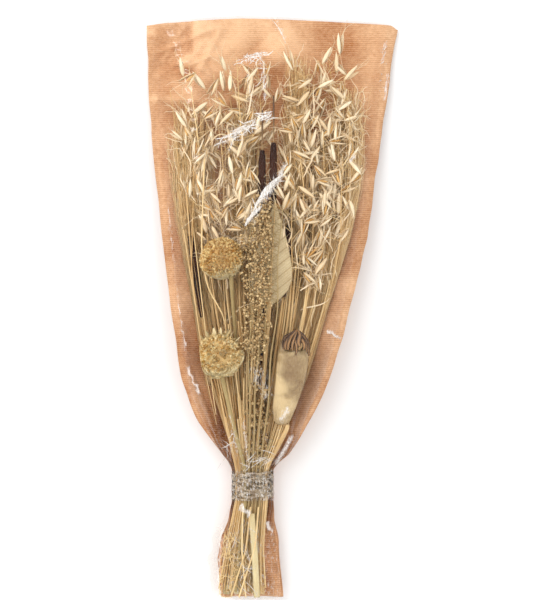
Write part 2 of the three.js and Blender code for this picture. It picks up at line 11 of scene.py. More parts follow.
import bpy
import numpy as np
from mathutils import Matrix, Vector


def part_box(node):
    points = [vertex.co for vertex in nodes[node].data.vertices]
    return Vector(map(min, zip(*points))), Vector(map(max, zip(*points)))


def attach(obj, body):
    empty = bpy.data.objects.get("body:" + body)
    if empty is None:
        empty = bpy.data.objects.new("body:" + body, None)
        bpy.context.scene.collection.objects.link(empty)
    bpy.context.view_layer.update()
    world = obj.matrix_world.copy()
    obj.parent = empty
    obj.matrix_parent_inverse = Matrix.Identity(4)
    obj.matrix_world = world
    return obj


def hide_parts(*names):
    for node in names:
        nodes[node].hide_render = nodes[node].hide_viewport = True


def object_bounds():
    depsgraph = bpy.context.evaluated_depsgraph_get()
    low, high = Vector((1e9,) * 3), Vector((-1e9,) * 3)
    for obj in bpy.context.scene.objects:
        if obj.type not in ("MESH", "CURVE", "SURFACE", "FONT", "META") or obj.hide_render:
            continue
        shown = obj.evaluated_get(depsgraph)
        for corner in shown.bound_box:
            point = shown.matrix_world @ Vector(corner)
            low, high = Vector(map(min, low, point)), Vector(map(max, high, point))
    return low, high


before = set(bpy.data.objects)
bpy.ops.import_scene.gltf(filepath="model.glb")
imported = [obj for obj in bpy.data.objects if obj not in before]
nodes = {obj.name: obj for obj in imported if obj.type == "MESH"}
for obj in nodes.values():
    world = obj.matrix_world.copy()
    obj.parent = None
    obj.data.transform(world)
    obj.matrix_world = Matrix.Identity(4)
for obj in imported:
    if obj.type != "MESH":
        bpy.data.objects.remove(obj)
cad_box = [list(corner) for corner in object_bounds()]
rng = np.random.default_rng(11)
MM = 0.001
print("CAD box", cad_box)

# %% [markdown]
# ## Camera, floor and light
#
# The bouquet lies down, so the camera hangs over it and looks straight down with a long lens, which keeps near
# and far heads the same size. A big soft lamp at the upper left models the forms and bright surroundings fill
# the shadows. A second, small and low lamp there shows as a mirror image in folds of the film that lean its way
# by some 34 degrees, half the angle between the lamp and the camera.

# %% Camera
scene = bpy.context.scene
scene.view_settings.view_transform = "Standard"
CAMERA_HEIGHT = 2.6
SEEN_HEIGHT = 0.6196  # of the floor, from the image's lower edge to its upper edge
camera = bpy.data.objects.new("camera", bpy.data.cameras.new("camera"))
camera.location = (-0.0057, 0.0077, CAMERA_HEIGHT)
camera.data.lens = 36 * (CAMERA_HEIGHT - 0.02) / SEEN_HEIGHT
scene.collection.objects.link(camera)
scene.camera = camera
print("lens", round(camera.data.lens, 1), "mm")


# %% Floor, lamps and surroundings
def linear(hexadecimal):
    """An sRGB hex colour as linear light, each channel c: ((c + 0.055) / 1.055) ^ 2.4 above 0.04045."""
    c = np.array([int(hexadecimal[i : i + 2], 16) for i in (0, 2, 4)]) / 255
    return (*np.where(c <= 0.04045, c / 12.92, ((c + 0.055) / 1.055) ** 2.4), 1.0)


def smooth(low, high, v):
    """Goes from 0 at low to 1 at high as t t (3 - 2 t)."""
    t = np.clip((v - low) / (high - low), 0, 1)
    return t * t * (3 - 2 * t)


def add(tree, kind, inputs=None, **settings):
    """Adds one node, sets it up, and fills its sockets with values or links."""
    node = tree.nodes.new(kind)
    for key, value in settings.items():
        setattr(node, key, value)
    for key, value in (inputs or {}).items():
        if isinstance(value, bpy.types.NodeSocket):
            tree.links.new(value, node.inputs[key])
        else:
            node.inputs[key].default_value = value
    return node


def lamp(name, place, aim, size, watts):
    """A square soft lamp at place that shines towards aim."""
    data = bpy.data.lights.new(name, "AREA")
    data.size, data.energy = size, watts
    made = bpy.data.objects.new(name, data)
    made.location = place
    away = np.array(place) - np.array(aim)
    across = np.cross([0, 1, 0], away)
    across /= np.linalg.norm(across)
    away /= np.linalg.norm(away)
    made.rotation_mode = "QUATERNION"
    turn = np.array([across, np.cross(away, across), away]).T
    made.rotation_quaternion = Matrix(turn.tolist()).to_quaternion()
    scene.collection.objects.link(made)


world = bpy.data.worlds.new("studio")
scene.world = world
world.use_nodes = True
world.node_tree.nodes["Background"].inputs["Color"].default_value = linear("ffffff")
world.node_tree.nodes["Background"].inputs["Strength"].default_value = 1.0
lamp("key lamp", (-1.3, 1.1, 1.75), (0, 0, 0.03), 1.9, 20)
lamp("fill lamp", (1.3, -0.5, 1.6), (0, 0, 0.03), 1.2, 5)
lamp("glint lamp", (-2.3, 1.3, 1.1), (0, 0, 0.03), 0.25, 12)

floor_mesh = bpy.data.meshes.new("floor")
floor_mesh.from_pydata([(-4, -4, 0), (4, -4, 0), (4, 4, 0), (-4, 4, 0)], [], [(0, 1, 2, 3)])
floor = bpy.data.objects.new("floor", floor_mesh)
floor.location.z = -0.0004
scene.collection.objects.link(floor)
paint = bpy.data.materials.new("white studio paint")
paint.use_nodes = True
paint.node_tree.nodes["Principled BSDF"].inputs["Base Color"].default_value = linear("fafafa")
paint.node_tree.nodes["Principled BSDF"].inputs["Roughness"].default_value = 0.9
floor_mesh.materials.append(paint)
print("lamps and floor stand")

# %% [markdown]
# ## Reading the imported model
#
# A plane across the bouquet cuts a CAD node in an outline. Its extremes give a straw's middle line, a sheet's
# two edges and a head's outline, so every piece made below starts from the place that its node has.


# %% Cutting a node
def triangles(name):
    """A CAD node's triangles as an array (triangle, corner, xyz)."""
    mesh = nodes[name].data
    mesh.calc_loop_triangles()
    points = np.empty(len(mesh.vertices) * 3)
    mesh.vertices.foreach_get("co", points)
    corners = np.empty(len(mesh.loop_triangles) * 3, np.int32)
    mesh.loop_triangles.foreach_get("vertices", corners)
    return points.reshape(-1, 3)[corners].reshape(-1, 3, 3)


def cuts(name, ys):
    """Where planes of constant y cut a node: rows of least x, greatest x, least z, greatest z, and the heights
    at the least and the greatest x. On an edge from a to b the cut is a + (b - a) (y - ya) / (yb - ya)."""
    faces = triangles(name)
    a = faces.reshape(-1, 3)
    b = np.roll(faces, -1, axis=1).reshape(-1, 3)
    rows = []
    for y in ys:
        hit = (a[:, 1] - y) * (b[:, 1] - y) < 0
        share = ((y - a[hit, 1]) / (b[hit, 1] - a[hit, 1]))[:, None]
        p = a[hit] + (b[hit] - a[hit]) * share
        left, right = p[p[:, 0].argmin()], p[p[:, 0].argmax()]
        rows.append([left[0], right[0], p[:, 2].min(), p[:, 2].max(), left[2], right[2]])
    return np.array(rows)


NECK_FOOT = -0.2  # m, the y at which the stems leave the twine downward
CROWD_X = -0.0517  # m, the x towards which they crowd


def middle_line(name, top=None, count=48):
    """A straw's middle line as points from its cut end to top, halfway between the extremes of each cut."""
    lo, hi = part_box(name)
    ys = np.linspace(lo[1] + 2e-4, (top or hi[1]) - 3e-4, count)
    c = cuts(name, ys)
    line = np.stack([(c[:, 0] + c[:, 1]) / 2, ys, (c[:, 2] + c[:, 3]) / 2], axis=1)
    for _ in range(2):  # rounds the corners that the CAD line has
        line[1:-1] = (line[:-2] + 2 * line[1:-1] + line[2:]) / 4
    below_neck = np.clip((NECK_FOOT - ys) / 0.05, 0, 1)
    line[:, 0] -= 0.13 * (line[:, 0] - CROWD_X) * below_neck  # real stems crowd together under the twine
    return line


def at(line, y):
    """The point of a line at each y, as an array (..., xyz)."""
    y = np.asarray(y, float)
    return np.stack([np.interp(y, line[:, 1], line[:, 0]), y, np.interp(y, line[:, 1], line[:, 2])], axis=-1)


print("cattail 01 runs", middle_line("cattail_01")[[0, -1]].round(3).tolist())

# %% [markdown]
# ## The sleeve's outline
#
# Paper and film share two long edges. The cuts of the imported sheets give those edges, the heights of the seams
# and how high the film arches. Both sheets are made on these lines, and every plant stays between them: hairs
# and flowers are scattered by chance, and a few would come out through the paper.

# %% Stations along the sleeve
EDGE_YS = np.concatenate([np.linspace(-0.2985, -0.15, 70), np.linspace(-0.147, 0.286, 90)])
paper_cuts, film_cuts = cuts("kraft_paper_back", EDGE_YS), cuts("clear_film_front", EDGE_YS)


def along_sleeve(values):
    """A function of y from values at the stations. Past the last station it goes on in a straight line."""
    slope = (values[-1] - values[-8]) / (EDGE_YS[-1] - EDGE_YS[-8])
    return lambda y: np.interp(y, EDGE_YS, values) + np.clip(y - EDGE_YS[-1], 0, 1) * slope


left_edge, right_edge = along_sleeve(paper_cuts[:, 0]), along_sleeve(paper_cuts[:, 1])
seam = along_sleeve((paper_cuts[:, 4] + paper_cuts[:, 5]) / 2)
paper_low = along_sleeve(paper_cuts[:, 2])
film_top = along_sleeve(film_cuts[:, 3])


def paper_climb(u):
    """How far the paper has climbed from its lowest line, 0, to its seam, 1, at u across from -1 to 1."""
    return smooth(0.4, 0.95, np.abs(u)) * 0.86 + 0.14 * u**6


def keep_inside(points):
    """Brings points that stray out of the sleeve back into it. Across, what is past a share w of the half width
    closes up on w + 0.1 as 0.1 tanh. Downward, what is less than s over the paper closes up on it as
    s exp(z / s - 1). It fades out towards the neck and does nothing below it."""
    x, y, z = points.T
    free = smooth(-0.15, -0.10, y)
    middle, half = (left_edge(y) + right_edge(y)) / 2, (right_edge(y) - left_edge(y)) / 2
    u = (x - middle) / half
    w = np.interp(y, [-0.1, 0.0, 0.12], [0.58, 0.66, 0.8])
    side = np.minimum(np.abs(u), w) + 0.1 * np.tanh(np.clip(np.abs(u) - w, 0, None) / 0.1)
    u = u + free * (np.sign(u) * side - u)
    over, soft = 0.0078, 0.0025  # m: how high the paper's waves rise, and s
    paper = paper_low(y) + (seam(y) - paper_low(y)) * paper_climb(u) + over * smooth(1.0, 0.9, np.abs(u))
    lifted = paper + soft * np.exp(np.minimum((z - paper) / soft - 1, 0))
    z = z + free * (np.where(z < paper + soft, lifted, z) - z)
    return np.stack([middle + half * u, y, z], axis=1)


print("the sleeve is", round(float(right_edge(0.28) - left_edge(0.28)), 3), "m wide near its mouth")

# %% [markdown]
# ## Two ways to make a shape
#
# Everything that grows here is either a tube along a line or a small shell that is repeated. Rings of points
# joined one to the next make both, with a flat cap on each end so that the surface is closed.


# %% Rings, strands and copies
def loft(rings):
    """Closed bodies from rings (body, ring, point, xyz). Four neighbours make a face, and each end has a cap.
    Seen from the last ring, the points of a ring go round clockwise."""
    bodies, steps, sides, _ = rings.shape
    index = np.arange(bodies * steps * sides).reshape(bodies, steps, sides)
    a, c = index[:, :-1], index[:, 1:]
    wall = np.stack([a, c, np.roll(c, -1, 2), np.roll(a, -1, 2)], -1).reshape(-1, 4)
    caps = np.concatenate([index[:, 0], index[:, -1, ::-1]])
    return rings.reshape(-1, 3), [wall, caps]


def axes_along(paths):
    """Unit directions along a path, across it and over it. Across is level, unless the path is upright."""
    along = np.gradient(paths, axis=-2)
    along /= np.linalg.norm(along, axis=-1, keepdims=True) + 1e-12
    across = np.cross(along, [0.02, 0.01, 1.0])
    across /= np.linalg.norm(across, axis=-1, keepdims=True)
    return along, across, np.cross(across, along)


def strands(paths, radii, sides=5, flat=1.0, roll=0.0):
    """Tubes: path point + radius (cos a across + flat sin a over). flat below 1 makes a strap."""
    paths = np.asarray(paths, float).reshape(-1, *np.shape(paths)[-2:])
    radii = np.broadcast_to(radii, paths.shape[:2])[..., None, None]
    _, across, over = axes_along(paths)
    a = (np.arange(sides) * 2 * np.pi / sides + roll)[:, None]
    ring = np.cos(a) * across[:, :, None] + flat * np.sin(a) * over[:, :, None]
    return loft(paths[:, :, None] + radii * ring)


def scatter(shape, places, frames):
    """Copies of a shape: point p goes to place + frame p, for every place and its 3 by 3 frame."""
    points, faces = shape
    places = np.asarray(places, float)
    out = places[:, None] + np.einsum("mij,pj->mpi", frames, points)
    shift = (np.arange(len(places)) * len(points))[:, None, None]
    return out.reshape(-1, 3), [(f[None] + shift).reshape(-1, f.shape[1]) for f in faces]


def aim(directions, spin, size):
    """Frames whose second axis points along a direction, turned round it by spin, and scaled by size."""
    y = directions / np.linalg.norm(directions, axis=1, keepdims=True)
    x = np.cross(y, [0.031, 0.017, 1.0])
    x /= np.linalg.norm(x, axis=1, keepdims=True)
    z = np.cross(x, y)
    c, s = np.cos(spin)[:, None], np.sin(spin)[:, None]
    frames = np.stack([c * x + s * z, y, c * z - s * x], axis=2)
    return frames * np.broadcast_to(size, (len(y), 3))[:, None, :]


class Heap:
    """Gathers shapes, each with a tone from 0, old and dark, to 1, young and pale, and makes one mesh of them."""

    def __init__(self):
        self.points, self.faces, self.tones, self.finishes, self.count = [], [], [], [], 0

    def put(self, shape, tone=0.5, finish=0):
        """Adds a shape. tone is one number, one for each copy or one for each point."""
        points, faces = shape
        if np.ndim(tone) == 1 and len(tone) != len(points):
            tone = np.repeat(tone, len(points) // len(tone))
        self.points.append(points)
        self.tones.append(np.broadcast_to(tone, len(points)))
        for f in faces:
            self.faces.append(f + self.count)
            self.finishes.append(np.full(len(f), finish))
        self.count += len(points)

    def make(self, name, materials, stands_for, plant=True):
        """One mesh of all that was put in. A plant is kept inside the sleeve; paper, film, tape and twine are
        the sleeve and what ties it, so they stay where they were worked out."""
        mesh = bpy.data.meshes.new(name)
        points = np.concatenate(self.points)
        sizes = np.concatenate([np.full(len(f), f.shape[1]) for f in self.faces])
        corners = np.concatenate([f.ravel() for f in self.faces]).astype(np.int32)
        mesh.vertices.add(self.count)
        mesh.vertices.foreach_set("co", (keep_inside(points) if plant else points).ravel())
        mesh.loops.add(len(corners))
        mesh.loops.foreach_set("vertex_index", corners)
        mesh.polygons.add(len(sizes))
        mesh.polygons.foreach_set("loop_start", np.concatenate([[0], np.cumsum(sizes)[:-1]]).astype(np.int32))
        mesh.polygons.foreach_set("material_index", np.concatenate(self.finishes).astype(np.int32))
        mesh.polygons.foreach_set("use_smooth", np.ones(len(sizes), bool))
        mesh.attributes.new("tone", "FLOAT", "POINT").data.foreach_set("value", np.concatenate(self.tones))
        mesh.update()
        for material in materials:
            mesh.materials.append(material)
        piece = bpy.data.objects.new(name, mesh)
        scene.collection.objects.link(piece)
        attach(piece, "root")
        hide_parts(*stands_for)
        return piece


print("helpers are ready")

# %% [markdown]
# ## Dry plant tissue
#
# Straw, husk, hair and leaf are all dead cell walls: matte, a little translucent, and streaked along the way
# they grew. One recipe serves them, with the colour of the young and of the aged tissue, the width of its
# streaks and how smooth its skin is. The tone that each strand carries picks its place between the two.


# %% The recipe
def tissue(name, aged, fresh, streak_mm, rough, stretch=0.06, bump_mm=0.15, coat=0.0):
    """A tissue whose colour goes from aged to fresh with the tone and with streaks of the given width. stretch
    is how much slower the streaks change along Y than across."""
    material = bpy.data.materials.new(name)
    material.use_nodes = True
    tree = material.node_tree
    skin = tree.nodes["Principled BSDF"]
    place = add(tree, "ShaderNodeTexCoord")
    long = add(tree, "ShaderNodeMapping", {"Vector": place.outputs["Object"], "Scale": (1, stretch, 1)})
    streaks = add(
        tree, "ShaderNodeTexNoise", {"Vector": long.outputs[0], "Scale": 1000 / streak_mm, "Detail": 3}
    )
    blotches = add(tree, "ShaderNodeTexNoise", {"Vector": place.outputs["Object"], "Scale": 60, "Detail": 2})
    tone = add(tree, "ShaderNodeAttribute", attribute_name="tone")
    streak_part = add(tree, "ShaderNodeMath", {0: streaks.outputs[0], 1: 0.6, 2: -0.3}, operation="MULTIPLY_ADD")
    blotch_part = add(
        tree, "ShaderNodeMath", {0: blotches.outputs[0], 1: 0.5, 2: -0.25}, operation="MULTIPLY_ADD"
    )
    streaked = add(tree, "ShaderNodeMath", {0: tone.outputs["Fac"], 1: streak_part.outputs[0]}, operation="ADD")
    whole = add(
        tree,
        "ShaderNodeMath",
        {0: streaked.outputs[0], 1: blotch_part.outputs[0]},
        operation="ADD",
        use_clamp=True,
    )
    colour = add(
        tree, "ShaderNodeMixRGB", {"Fac": whole.outputs[0], "Color1": linear(aged), "Color2": linear(fresh)}
    )
    tree.links.new(colour.outputs[0], skin.inputs["Base Color"])
    relief = add(
        tree, "ShaderNodeBump", {"Height": streaks.outputs[0], "Distance": bump_mm * MM, "Strength": 0.7}
    )
    tree.links.new(relief.outputs[0], skin.inputs["Normal"])
    skin.inputs["Roughness"].default_value = rough
    skin.inputs["IOR"].default_value = 1.45
    skin.inputs["Coat Weight"].default_value = coat
    skin.inputs["Coat Roughness"].default_value = 0.35
    return material


straw = tissue("dry oat straw", "b98c4c", "f8dda6", 0.5, 0.55)
husk = tissue("papery oat husk", "d8ac6a", "fff1d2", 0.4, 0.5, 0.1)
grain = tissue("golden oat floret", "c08c46", "edc27c", 0.4, 0.6, 0.1)
hair = tissue("grass hair", "deb271", "fee6b4", 0.6, 0.7)
awn = tissue("white awn", "dcbf8e", "feeccc", 0.6, 0.6)
print("first tissues are mixed")

# %% [markdown]
# ## Oat stalks
#
# An oat straw ends in a loose panicle: thin bent branches, and on each a spikelet of two papery husks, open like
# a beak over a golden floret. A husk is a shell: at share t of its length its half width is w sin(pi t^0.8)^0.8,
# and its section is a crescent, so it holds a hollow. It is made once and copied, as every spikelet is the same
# thing seen from another side. Awns, curled hairs and torn strips of husk wander: each is a path whose heading
# changes a little, by chance, at every step.


# %% The husk, the floret and the spikelet
def husk_shell(length, width, hollow, sides=6, steps=8):
    """Rings of a crescent: x = w cos a, z = thin sin a + hollow (1 - cos^2 a) along the length y."""
    t = np.linspace(0.02, 0.99, steps)[:, None]
    w = width / 2 * np.sin(np.pi * t**0.8) ** 0.8
    a = np.arange(sides)[None] * 2 * np.pi / sides
    x, y = w * np.cos(a), length * t + 0 * a
    z = hollow * np.sin(np.pi * t) * np.sin(a) ** 2 + 0.12 * w * np.sin(a)
    return loft(np.stack([x, y, z], -1)[None])


def pod(length, width, sides=5, steps=5):
    """A spindle: radius w sin(pi t) at share t of its length."""
    t = np.linspace(0.04, 0.97, steps)[:, None]
    a = np.arange(sides)[None] * 2 * np.pi / sides
    w = width / 2 * np.sin(np.pi * t)
    return loft(np.stack([w * np.cos(a), length * t + 0 * a, w * np.sin(a)], -1)[None])


HUSK = husk_shell(1.0, 0.23, 0.09)
FLORET = pod(0.72, 0.14)


def curls(start, heading, length, turn, count=12):
    """Paths that wander: the heading in the XY plane changes by a random turn at every step."""
    many = len(start)
    angle = heading[:, None] + np.cumsum(rng.normal(0, 1, (many, count)) * turn, axis=1)
    lift = np.cumsum(rng.normal(0, 0.12, (many, count)), axis=1) * 0.5
    step = np.stack([np.sin(angle), np.cos(angle), np.clip(lift, -0.5, 0.5)], 2)
    step = step * (length[:, None, None] / count)
    return start[:, None] + np.concatenate([np.zeros((many, 1, 3)), np.cumsum(step, axis=1)], axis=1)


def spikelets(heap, places, directions, lengths):
    """Puts spikelets at places: two husks that gape by a dozen degrees, the floret between them, and its awns,
    which are stiff bristles that come out of the husks and wander a little."""
    many = len(places)
    spin = rng.uniform(0, 2 * np.pi, many)
    unit = directions / np.linalg.norm(directions, axis=1, keepdims=True)
    open_to = aim(unit, spin, 1.0)[:, :, 2]
    tone = rng.uniform(0.5, 1.0, many)
    for side in (1, -1):
        lean = unit + side * rng.uniform(0.08, 0.34, many)[:, None] * open_to
        turned = spin + (0 if side > 0 else np.pi)
        heap.put(scatter(HUSK, places, aim(lean, turned, lengths[:, None])), tone + 0.05 * side, 1)
    heap.put(scatter(FLORET, places, aim(unit, spin, lengths[:, None])), rng.uniform(0, 1, many), 2)
    for _ in range(3):
        heading = np.arctan2(unit[:, 0], unit[:, 1]) + rng.normal(0, 0.35, many)
        start = places + unit * (lengths * rng.uniform(0.2, 0.8, many))[:, None]
        path = curls(start, heading, rng.uniform(0.012, 0.028, many), 0.2)
        heap.put(strands(path, np.linspace(0.34, 0.16, 13) * MM, 3), rng.uniform(0.4, 1, many), 3)


print("a spikelet has", 2 * len(HUSK[0]) + len(FLORET[0]), "points")


# %% One stalk
SPIKELETS = {1: 3, 2: 10, 8: 10, 9: 12, 14: 12}  # on the panicles at the outside, where grass covers them
PANICLE_LIMITS = (cad_box[0][0] + 0.036, cad_box[1][0] - 0.050)  # flowers keep this far inside the sleeve
RIBBON_SCATTER = np.array([7.0, 4.0, 3.0]) * MM  # how far torn strips of husk lie from the straw


def bend(start, end, bow, count=9):
    """Paths from start to end that bow sideways by bow sin(pi t), as an array (path, point, xyz)."""
    t = np.linspace(0, 1, count)[None, :, None]
    return start[:, None] * (1 - t) + end[:, None] * t + bow[:, None] * np.sin(np.pi * t)


def oat_stalk(number):
    """The straw, a few thinner ones beside it, the panicle's branches and their spikelets. A branch leaves the
    straw at a chance height and bows up and outward, by turns to the left and to the right."""
    name = f"oat_stalk_{number:02d}"
    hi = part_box(name)[1]
    corners = triangles(name).reshape(-1, 3)
    tip = corners[corners[:, 1].argmax()]
    below = middle_line(name, hi[1] - 0.085)
    line = np.vstack([below, [tip]])
    heap = Heap()
    y = np.linspace(line[0, 1], tip[1] - 0.004, 60)
    own = at(line, y)
    own[:, 0] += 0.0012 * np.sin(y * 38 + number) * np.clip((y + 0.15) * 8, 0, 1)
    thick = np.interp(y, [-0.3, 0, tip[1] - 0.08, tip[1]], [1.25, 1.15, 0.7, 0.25]) * MM
    heap.put(strands(own, thick, 7), rng.uniform(0.35, 0.8), 0)
    extra = 6
    ends = rng.uniform(0.3, 1.0, extra)
    for k in range(extra):
        top = line[0, 1] + (hi[1] - line[0, 1]) * ends[k] * 0.8
        yk = np.linspace(line[0, 1] + rng.uniform(0, 0.006), top, 40)
        off = rng.normal(0, 1, 2) * 1.7 * MM
        path = at(line, yk)
        spread = 1 + 2.2 * np.clip((yk + 0.165) * 4, 0, 1)
        path[:, 0] += off[0] * spread + rng.normal(0, 0.004) * np.clip((yk + 0.14) * 5, 0, 1.6) ** 2
        path[:, 2] += off[1]
        heap.put(strands(path, rng.uniform(0.45, 0.8) * MM, 5), rng.uniform(0.1, 0.9), 0)
    ribbons = 7
    start = at(own, rng.uniform(hi[1] - 0.14, hi[1] - 0.05, ribbons))
    start = start + rng.normal(0, 1, (ribbons, 3)) * RIBBON_SCATTER
    path = curls(start, rng.normal(0, 0.55, ribbons), rng.uniform(0.016, 0.042, ribbons), 0.13, 18)
    path[..., 0] = np.clip(path[..., 0], *PANICLE_LIMITS)
    path[..., 1] = np.minimum(path[..., 1], hi[1] + 0.004)
    width = rng.uniform(0.4, 1.0, (ribbons, 1)) * MM * np.sin(np.pi * np.linspace(0.1, 0.98, 19)) ** 0.6
    heap.put(strands(path, width, 6, 0.2, rng.uniform(0, 3)), rng.uniform(0.3, 0.85, ribbons), 3)
    many = SPIKELETS.get(number, 18)
    share = np.sort(rng.uniform(0, 1, many) ** 1.2)
    root_y = hi[1] - 0.098 + 0.082 * share
    roots = at(np.vstack([own, [tip]]), root_y)
    side = np.where(np.arange(many) % 2, 1, -1) * rng.uniform(0.5, 1.15, many)
    reach = side * (0.017 - 0.008 * share)
    places = roots + np.stack([reach, rng.uniform(-0.002, 0.016, many), rng.normal(0, 0.0022, many)], 1)
    places[:, 0] = np.clip(places[:, 0], *PANICLE_LIMITS) + rng.normal(0, 0.002, many)
    bow = np.stack([reach * 0.3, rng.uniform(0.002, 0.006, many), np.zeros(many)], 1)
    heap.put(strands(bend(roots, places, bow), 0.32 * MM, 4), rng.uniform(0.4, 1, many), 0)
    droop = rng.random(many) < 0.5
    heading = np.where(droop, rng.normal(np.pi, 0.7, many), rng.normal(0, 0.55, many))
    heading += np.sign(side) * 0.35
    directions = np.stack([np.sin(heading), np.cos(heading), rng.normal(0, 0.15, many)], 1)
    spikelets(heap, places, directions, rng.uniform(0.015, 0.024, many))
    return heap.make(name + "_panicle", [straw, husk, grain, awn], [name])


for number in range(1, 18):
    oat_stalk(number)
print("17 oat stalks")

# %% [markdown]
# ## Grass plumes
#
# A plume is a broom: dozens of culms that run up together, and hundreds of fine hairs that leave them at a
# narrow angle. Each hair is one tapering tube of a few points, and they all are worked out as one array.


# %% Plumes
BROAD = {1: 2.1, 2: 1.5, 4: 1.4, 5: 1.7}  # how far a plume spreads, where it is not 1
WISPS = {1: 40, 2: 26, 3: 20, 4: 24, 5: 60}  # loose curled hairs at each plume's top
CULM_TOP, HAIR_TOP = 0.037, 0.034  # m, the greatest height of culms and of hairs under the film


def plume(number, hairs=1500, culms=64):
    """Culms follow the plume's line and fan out with height. Hairs start on it, and drift sideways as t^1.5.
    Each hair has its own greatest length, so that the plume's top is ragged."""
    name = f"grass_plume_{number:02d}"
    broad = BROAD.get(number, 1.0)
    lo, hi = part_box(name)
    line = middle_line(name)
    heap = Heap()
    top = rng.uniform(0.62, 1.0, culms) * (hi[1] - lo[1]) + lo[1] - 0.01
    t = np.linspace(0, 1, 40)[None]
    y = lo[1] + 0.002 + (top[:, None] - lo[1]) * t
    off = rng.normal(0, 1, (culms, 1, 2))
    spread = np.interp(y, [-0.3, -0.2, -0.16, -0.02, 0.3], [1.5, 1.1, 1.2, 3.8 * broad, 5.0 * broad]) * MM
    path = at(line, y)
    path[..., 0] += off[..., 0] * spread
    path[..., 2] += off[..., 1] * np.minimum(spread, 1.7 * MM)
    path[..., 0] += rng.normal(0, 0.8 * MM, (culms, 1)) * np.sin(y * 25)
    path[..., 2] += np.abs(rng.normal(0, 9 * MM, (culms, 1))) * smooth(-0.14, -0.02, y)
    path[..., 2] = np.minimum(path[..., 2], CULM_TOP - 0.004 * rng.random((culms, 1)))
    heap.put(strands(path, np.linspace(0.6, 0.25, 40)[None] * MM, 4), rng.uniform(0.25, 0.9, culms), 0)
    start = lo[1] + (hi[1] - lo[1]) * rng.uniform(0.42, 0.93, hairs)
    longest = np.maximum(hi[1] + 0.010 - 0.07 * rng.random(hairs) ** 1.5 - start, 0.012)
    length = np.minimum(rng.uniform(0.03, 0.085, hairs), longest)
    t = np.linspace(0, 1, 8)[None]
    y = start[:, None] + length[:, None] * t
    root = rng.normal(0, 1, hairs)
    width = 5.2 * broad * MM * np.interp(start, [hi[1] - 0.2, hi[1] - 0.05, hi[1]], [1, 0.8, 0.45])
    path = at(line, np.minimum(y, line[-1, 1]))
    path[..., 1] = y
    out = rng.normal(0, 1, hairs) * 0.055
    path[..., 0] += (root * width)[:, None] + (out * length)[:, None] * t**1.5 * 1.5
    path[..., 2] += (np.abs(rng.normal(0, 7 * MM, hairs)) - 1 * MM)[:, None] * smooth(0, 0.35, t) + 0 * t
    path[..., 2] = np.minimum(path[..., 2], HAIR_TOP - 0.004 * rng.random((hairs, 1)))
    path[..., 0] += rng.normal(0, 0.7 * MM, hairs)[:, None] * np.sin(9 * t + root[:, None])
    heap.put(strands(path, (0.56 - 0.3 * t) * MM, 3), rng.uniform(0.3, 0.9, hairs), 1)
    wisps = WISPS[number]
    start = at(line, hi[1] - rng.uniform(0.0, 0.09, wisps))
    start = start + rng.normal(0, 1, (wisps, 3)) * [0.009, 0.004, 0.002]
    start[:, 2] += rng.uniform(0.0, 0.022, wisps)
    path = curls(start, rng.normal(0, 0.9, wisps), rng.uniform(0.012, 0.034, wisps), 0.26, 18)
    path[..., 2] = np.clip(path[..., 2], 0.004, 0.036)
    path[..., 1] = np.minimum(path[..., 1], hi[1] + 0.02)
    heap.put(strands(path, np.linspace(0.42, 0.2, 19) * MM, 4, 0.5), rng.uniform(0.4, 1, wisps), 2)
    return heap.make(name + "_broom", [straw, hair, awn], [name])


for number in range(1, 6):
    plume(number)
print("5 grass plumes")

# %% [markdown]
# ## Cattails
#
# The brown spike is a felt of thousands of seed hairs on a straight straw, and over it stands the bare stalk of
# the fallen flowers, dark at the very top. The spike is a turned shape with a soft, pitted skin.

# %% Cattails
felt = tissue("cattail felt", "1d0d08", "4a291a", 0.7, 0.95, 0.8, 0.5)
stalk_brown = tissue("bare cattail stalk", "5a4130", "a88a62", 0.6, 0.7)
SPIKE_FROM = 5.2 * MM


def cattail(number):
    """A straw up to the spike, the spike, whose radius is r sin(pi t)^0.16 with faint waves, and the bare tip.
    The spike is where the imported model's cut is wider than SPIKE_FROM."""
    name = f"cattail_{number:02d}"
    lo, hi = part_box(name)
    ys = np.linspace(lo[1] + 3e-4, hi[1] - 3e-4, 160)
    c = cuts(name, ys)
    line = np.stack([(c[:, 0] + c[:, 1]) / 2, ys, (c[:, 2] + c[:, 3]) / 2], 1)
    wide = c[:, 1] - c[:, 0] > SPIKE_FROM
    low, high = ys[wide].min(), ys[wide].max()
    heap = Heap()
    y = np.linspace(lo[1], low + 0.002, 40)
    heap.put(strands(at(line, y), 1.3 * MM, 7), 0.3, 0)
    y = np.linspace(low, high, 44)
    t = np.linspace(0, 1, 44)
    radius = 4.1 * MM * (np.sin(np.pi * np.clip(t, 0.004, 0.996)) ** 0.16)
    radius *= 1 + 0.035 * np.sin(37 * t + number) + 0.02 * np.sin(83 * t)
    heap.put(strands(at(line, y), radius, 18), 0.5 + 0.25 * np.sin(11 * t), 1)
    y = np.linspace(high - 0.003, hi[1], 16)
    t = np.linspace(0, 1, 16)
    dark = np.repeat(np.clip(1.1 - 1.4 * t, 0.0, 1), 6)
    heap.put(strands(at(line, y), np.interp(t, [0, 0.45, 0.5, 1], [0.8, 0.7, 1.05, 0.75]) * MM, 6), dark, 2)
    return heap.make(name + "_spike", [straw, felt, stalk_brown], [name])


for number in range(1, 6):
    cattail(number)
print("5 cattails")

# %% [markdown]
# ## Globe flower heads
#
# A globe head is a ball of hundreds of tiny dry florets, each a little ragged tube that points outward. They sit
# where seeds sit on a sunflower: the k-th at the height 1 - 2 k / n, turned by the golden angle from the last.
# Under the ball are overlapping pale scales, the calyx that once was the bud.

